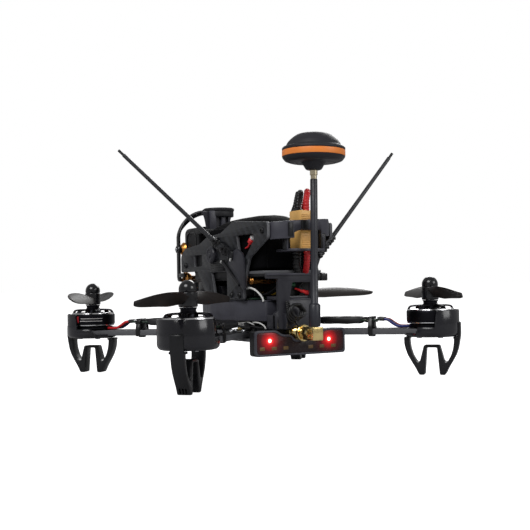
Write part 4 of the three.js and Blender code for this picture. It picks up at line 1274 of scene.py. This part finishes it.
def tail_light():
    shell = plate(tail_outline(0), -54.6, -49, (), 0.5, "XZ")
    placed("tail_shell", shell, SATIN_BLACK, stands_for=["tail_light_housing"])
    rim = plate(tail_outline(0), -56, -54.4, [tail_outline(1.1)], 0.25, "XZ")
    placed("tail_rim", rim, MOULDED_LIGHT)
    window = plate(tail_outline(1.2), -55.9, -54.7, (), 0.2, "XZ")
    placed("tail_window", window, TAIL_RED, stands_for=["tail_light_lens"])
    for index, (x, height) in enumerate(LAMPS):
        bulb = lathe([(0, 0), (1.05, 0), (1.05, 0.1), (0.75, 0.45), (0.4, 0.62), (0, 0.68)], 24)
        bulb.transform(shift(x, -55.75, height) @ spun(90, "X"))
        placed(f"tail_lamp_{index}", bulb, LAMP_GLOW)
    chips = merged(*[block(x - 1.5, x + 1.5, -56.0, -55.8, 17.1, 18.9, 0.08) for x in CHIP_PLACES])
    placed("tail_chips", chips, DIM_LAMP)
    spots = [shift(x, -49, h) @ spun(-90, "X") for x in (-22, 22) for h in (17.5, 24)]
    screws("tail_screws", 1.3, 0.8, spots)
    arm_pad = block(-9, 9, -50.2, -46.6, 17.8, 20.4, 0.5)
    placed("tail_clamp", arm_pad, SATIN_BLACK)


def antenna_socket():
    flats = lathe([(3.1, 44.4), (3.1, 48.6), (3.9, 48.6), (4.2, 49), (4.2, 51.6), (3.9, 52), (3.0, 52)], 48)
    thread = [(0, 43.9), (2.6, 43.9), (2.6, 52)]
    for k in range(11):
        y = 52 + 0.48 * k
        thread += [(3.0, y), (3.25, y + 0.24)]
    thread += [(3.0, 57.4), (4.1, 57.4), (4.45, 57.8), (4.45, 59.2), (4.1, 59.6), (3.1, 59.6)]
    for k in range(11):
        y = 59.7 + 0.48 * k
        thread += [(2.85, y), (3.1, y + 0.24)]
    thread += [(2.6, 65.3), (0, 65.3)]
    body = lathe(thread, 48)
    whole = merged(body, flats)
    whole.transform(shift(0, 0, 25.7) @ spun(90, "X"))
    placed("socket_thread", whole, GOLD, stands_for=["antenna_socket"])


def mast_place():
    """The swivelling antenna's own frame: the elbow's centre, with +Z up the mast."""
    x, y, z = joint("antenna_swing")["pos_m"]
    return shift(x / MM, y / MM, height_of(z)) @ spun(1, "Y")


def video_antenna():
    place = mast_place()
    cube = block(-3.3, 3.3, -3.5, 3.6, -3.5, 3.6, 0.55, 3)
    flutes = merged(*[block(x, x + 0.32, y, y + 0.5, -2.6, 2.6, 0.1)
                      for x in (-3.62, 3.3) for y in (-2.4, -1.2, 0, 1.2)])
    nut = lathe([(3.35, 2.6), (3.9, 2.6), (4.05, 3.0), (4.05, 8.8), (3.8, 9.2), (3.35, 9.2), (3.35, 2.6)],
                48, hex_from=0)
    nut.transform(spun(-90, "X"))
    placed("elbow_body", merged(cube, flutes, nut), GOLD, "video_antenna", ["antenna_elbow"], place)
    lower = [(0, 3.9), (2.9, 3.9), (3.1, 4.2), (3.1, 14.9), (2.8, 15.4), (2.2, 15.9), (1.95, 16.3)]
    mast = lathe(lower + [(1.95, 48), (1.93, 81.4), (1.75, 81.7), (0, 81.7)], 32)
    placed("mast_sleeve", mast, MAST, "video_antenna", ["antenna_mast"], place)
    brass = lathe([(0, 81.6), (1.7, 81.6), (1.7, 83.6), (2.05, 83.8), (2.05, 86.2), (0, 86.2)], 32)
    placed("mast_brass", brass, PALE_GOLD, "video_antenna", place=place)
    bowl = eased_lathe([
        (0, 86.5), (3.8, 86.5), (4.4, 87.0), (6.0, 89.8), (6.8, 90.6), (13.2, 90.6), (15.3, 91.3),
        (16.5, 92.8), (16.75, 93.4), (16.55, 93.5), (0, 93.5)], 0.35, 3, 96)
    placed("mushroom_bowl", bowl, MUSHROOM_BLACK, "video_antenna", ["antenna_mushroom"], place)
    band = ring_lathe(rounded_box(15, 16.8, 93.55, 96.65, 0.2, 2), 96)
    placed("mushroom_band", band, ORANGE, "video_antenna", place=place)
    dome = eased_lathe([
        (0, 96.7), (16.55, 96.7), (16.8, 97.0), (16.8, 97.9), (16.3, 98.5), (15.3, 98.9), (14.8, 99.2),
        (14.5, 99.8), (13.7, 101.2), (12.3, 102.7), (10.6, 104.1), (9.2, 105.0), (8.0, 105.5), (6.6, 105.8),
        (4.6, 106.1), (2.4, 106.2), (0, 106.25)], 0.3, 3, 96)
    placed("mushroom_dome", dome, MUSHROOM_BLACK, "video_antenna", place=place)


# each holder: its clip's lean in degrees, lift and reach, its wedge's outline, and where its painted glints
# go
HOLDERS = {
    "left": (21, 1.5, -5, 23.5,
             [(-12.9, 64.8), (-19, 70.8), (-24, 72.6), (-30.5, 69.8), (-32.2, 66), (-32.8, 53.5),
              (-33.4, 49.4), (-31.2, 49.4)],
             [(-7.5, 65.7), (-19.5, 66.5), (2.5, 80), (-0.6, 78.4), (-3.2, 76.8)]),
    "right": (76, 1.0, -3, 12,
              [(-33, 66), (-38, 72), (-43, 80), (-46, 80), (-42.5, 68), (-35.5, 57.5), (-31, 50), (-29, 50)],
              [(-41, 70), (-41.5, 78)]),
}


def receiver(name, root, tip, down):
    """A receiver antenna: a tube in a clip, with the bare wire's end out of its top."""
    a, b = Vector(root), Vector(tip)
    side = 1 if a.x > 0 else -1
    along = (b - a).normalized()
    near = side * (SIDE_OUT + 0.1)
    far = side * (SIDE_OUT + 3.0)
    rod_body = rod(a - along * 0.5, a + (b - a) * 0.955, 1.3, 20, 0.2, 1.1)
    placed("receiver_tube_" + name, rod_body, TUBE_BLACK,
           stands_for=["receiver_antenna_" + name])
    wire_end = rod(a + (b - a) * 0.94, b, 0.8, 16, 0.15)
    placed("receiver_wire_" + name, wire_end, BLACK_WIRE)
    sleeve = rod(a - along * 4.5, a + along * 15, 1.65, 24, 0.35)
    placed("receiver_sleeve_" + name, sleeve, TUBE_BLACK)
    leaning, lift, start, end, fan, glints = HOLDERS[name]
    wedge = plate(softened(fan, 1.0, 3), *sorted((near, side * (SIDE_OUT + 1.9))), (), 0.4, "YZ")
    placed("receiver_wedge_" + name, wedge, MOULDED)
    bar = rod((side * 22.4, a.y + 9.5, a.z - 2.7), down, 1.1, 20, 0.3)
    placed("receiver_bar_" + name, bar, LEG_BLACK)
    ribs = [start + (end - start) * part for part in (0.1, 0.38, 0.62, 0.86)]
    hold = merged(block(near, far, start, end, -2.8, 2.4, 0.9, 3), *[
        block(near, side * (SIDE_OUT + 3.3), y, y + 1.2, -3.1, 2.7, 0.3) for y in ribs])
    hold.transform(shift(0, a.y, a.z + lift) @ spun(leaning, "X"))
    placed("receiver_clip_" + name, hold, LEG_BLACK)
    ties, locks = [], []
    for reach in (2.2, 4.6, 9.6, 11.4):
        centre = a + along * reach
        band = ring_lathe(rounded_box(1.7, 2.15, -0.55, 0.55, 0.12, 2), 28)
        ties.append(aimed(band, centre, centre + along))
        lock = block(-0.9, 0.9, -1.0, 1.0, -0.8, 0.8, 0.25)
        lock.transform(Matrix.Translation(centre + Vector((side * 1.9, -0.9, 0.9))))
        locks.append(lock)
    placed("receiver_ties_" + name, merged(*ties), TIE)
    placed("receiver_locks_" + name, merged(*locks), TIE)
    # small white blocks on the clip: painted glints
    marks = copies(lambda: block(-0.4, 0.4, -0.4, 0.4, -0.8, 0.8, 0.1),
                   [shift(side * (SIDE_OUT + 3.2), y, h) @ spun(20, "X") for y, h in glints])
    placed("receiver_painted_glints_" + name, marks, WHITE)


def loose_wires():
    """Small wires and parts under the lower cover, and the coiled and twisted cables behind it."""
    silver = [
        [(-19.5, -6, 30.4), (-18.6, -12, 31.0), (-17.6, -18, 30.6), (-16.4, -25, 31.2), (-15.6, -31, 30.0)],
        [(-18.2, 10, 29.4), (-18.8, 2, 30.2), (-18.2, -8, 29.2), (-17.2, -16, 29.6), (-15.6, -24, 28.6)],
        [(-15.5, -30, 31.3), (-15.0, -36, 31.0), (-14.2, -40, 29.6), (-14.6, -43, 28.0)],
    ]
    dark = [
        [(-19.0, 14, 28.2), (-19.4, 4, 29.0), (-18.8, -6, 28.0), (-18.2, -18, 28.8), (-16.2, -28, 27.8)],
        [(-17.6, 18, 30.6), (-18.0, 8, 31.2), (-17.2, -4, 30.8), (-16.2, -14, 31.4), (-14.8, -26, 30.6)],
        [(-14.5, -20, 27.8), (-15.0, -28, 28.8), (-13.6, -36, 28.2), (-11.6, -44, 29.6), (-9, -48, 31)],
    ]
    right = [[(-x, y, z) for x, y, z in points] for points in silver[:2] + dark[:2]]
    for kind, paths, radius, paint in (("white", silver, 0.42, WHITE), ("dark", dark, 0.75, BLACK_WIRE),
                                       ("right", right, 0.6, BLACK_WIRE)):
        for i, points in enumerate(paths):
            wire(f"floor_wire_{kind}_{i}", points, radius, paint)
    tiny = [block(-17.4 + 0.7 * (i % 2), -16.2 + 0.7 * (i % 2), y, y + 1.3, 29.6, 30.5, 0.15)
            for i, y in enumerate(range(-22, 22, 5))]
    placed("floor_parts_bright", merged(*tiny), BRIGHT)
    caps = [rod((-15.4, y, 26.4), (-15.4, y, 31.2), 2.2, 24, 0.4) for y in (-24, 6)]
    placed("floor_capacitors", merged(*caps), SATIN_BLACK)
    coils = []
    for k in range(4):
        turn = []
        for i in range(33):
            a = TURN * i / 32
            wobble = 0.5 * math.sin(5 * a + k)
            turn.append((-3.2 + (4.0 + 0.7 * math.sin(2 * a + k)) * math.cos(a) + 0.4 * k,
                         -54.6 - 0.75 * k + wobble * 0.4,
                         36.2 + 0.5 * k + (4.6 - 0.4 * k) * math.sin(a) + wobble * 0.3))
        coils.append(tube(turn, 0.75, 10))
    placed("coax_coil", merged(*coils), BLACK_WIRE)
    wire("coax_tail", [(-2.6, -55.4, 32.0), (-1.8, -56.4, 29.6), (-0.8, -55.2, 27.4), (-0.2, -51.5, 26.0),
                       (0, -49, 25.8)], 0.9)
    twisted = []
    for phase in (0, math.pi):
        points = []
        for i in range(40):
            t = i / 39
            a = phase + 9 * math.pi * t
            points.append((-6.6 + 1.0 * t + 0.75 * math.cos(a), -53.2 + 0.75 * math.sin(a), 42.6 - 9.5 * t))
        twisted.append(tube(points, 0.55, 10))
    placed("twisted_pair", merged(*twisted), BLACK_WIRE)


for which, plate_side in (("left", -1), ("right", 1)):
    side_plate(which, plate_side)
upper_deck()
standoffs()
wiring_bay()
rear_bracket()
connector_guard()
battery()
power_connector()
balance_plug()
front_hoop()
camera_hood()
camera_pod()
tail_light()
antenna_socket()
video_antenna()
receiver("left", (-22.4, -16, 68.7), (-75, 19, 131), (-22.2, -27.5, 52))
receiver("right", (22.4, -40, 68.2), (75, -40, 128.8), (21.6, -42, 57))
loose_wires()


# ---- camera, light and floor ----------------------------------------------------------------
def camera():
    """The photograph's view: low behind the left rear motor, looking along the body."""
    yaw, pitch, roll = 0.49624, -0.02298, 0.0200
    stand = (-0.2551, -0.4877, 0.05115 + GROUND)
    forward = Vector((math.sin(yaw) * math.cos(pitch), math.cos(yaw) * math.cos(pitch), -math.sin(pitch)))
    right = Vector((math.cos(yaw), -math.sin(yaw), 0))
    up = right.cross(forward)
    tilted_right = right * math.cos(roll) - up * math.sin(roll)
    tilted_up = right * math.sin(roll) + up * math.cos(roll)
    data = bpy.data.cameras.new("camera")
    data.sensor_width = 36
    data.lens = 62.98
    data.clip_start = 0.01
    eye = bpy.data.objects.new("camera", data)
    SCENE.collection.objects.link(eye)
    turn = Matrix((tilted_right, tilted_up, -forward)).transposed().to_4x4()
    eye.matrix_world = Matrix.Translation(stand) @ turn
    SCENE.camera = eye


def softbox(name, place, size, watts):
    """A lamp that points at the middle of the drone."""
    data = bpy.data.lights.new(name, "AREA")
    data.shape = "RECTANGLE"
    data.size, data.size_y = size
    data.energy = watts
    light = bpy.data.objects.new(name, data)
    SCENE.collection.objects.link(light)
    light.location = place
    light.rotation_euler = (Vector((0, 0, 0.03)) - Vector(place)).to_track_quat("-Z", "Y").to_euler()


ROOM_LIGHT = 0.30  # how much the white room lights the object


def studio():
    world = bpy.data.worlds.new("world")
    SCENE.world = world
    world.use_nodes = True
    background = world.node_tree.nodes["Background"]
    background.inputs["Color"].default_value = (1, 1, 1, 1)
    seen = world.node_tree.nodes.new("ShaderNodeLightPath").outputs["Is Camera Ray"]
    dimmed = world.node_tree.nodes.new("ShaderNodeMapRange")
    dimmed.inputs["To Min"].default_value = ROOM_LIGHT
    world.node_tree.links.new(seen, dimmed.inputs["Value"])
    world.node_tree.links.new(dimmed.outputs[0], background.inputs["Strength"])
    g = Graph("studio_floor")
    g.link(g.tones(g.noise(3, 3), (0.40, 0.40, 0.41), (0.43, 0.43, 0.44)), "Base Color")
    g.set(Roughness=0.7, Emission_Color=(1, 1, 1, 1))
    g.link(g.node("ShaderNodeLightPath").outputs["Is Camera Ray"], "Emission Strength")
    bm = bmesh.new()
    bmesh.ops.create_grid(bm, x_segments=2, y_segments=2, size=20)
    mesh = bpy.data.meshes.new("studio_floor")
    bm.to_mesh(mesh)
    bm.free()
    mesh.materials.append(g.material)
    floor = bpy.data.objects.new("studio_floor", mesh)
    floor.location.z = GROUND - 0.0002
    SCENE.collection.objects.link(floor)
    softbox("key", (-0.9, -0.6, 1.0), (0.8, 0.6), 11)
    softbox("rim", (0.9, 0.9, 0.8), (0.8, 0.5), 9)
    softbox("fill", (0.7, -1.2, 0.6), (0.7, 0.5), 5)
    SCENE.view_settings.view_transform = "Standard"


camera()
studio()
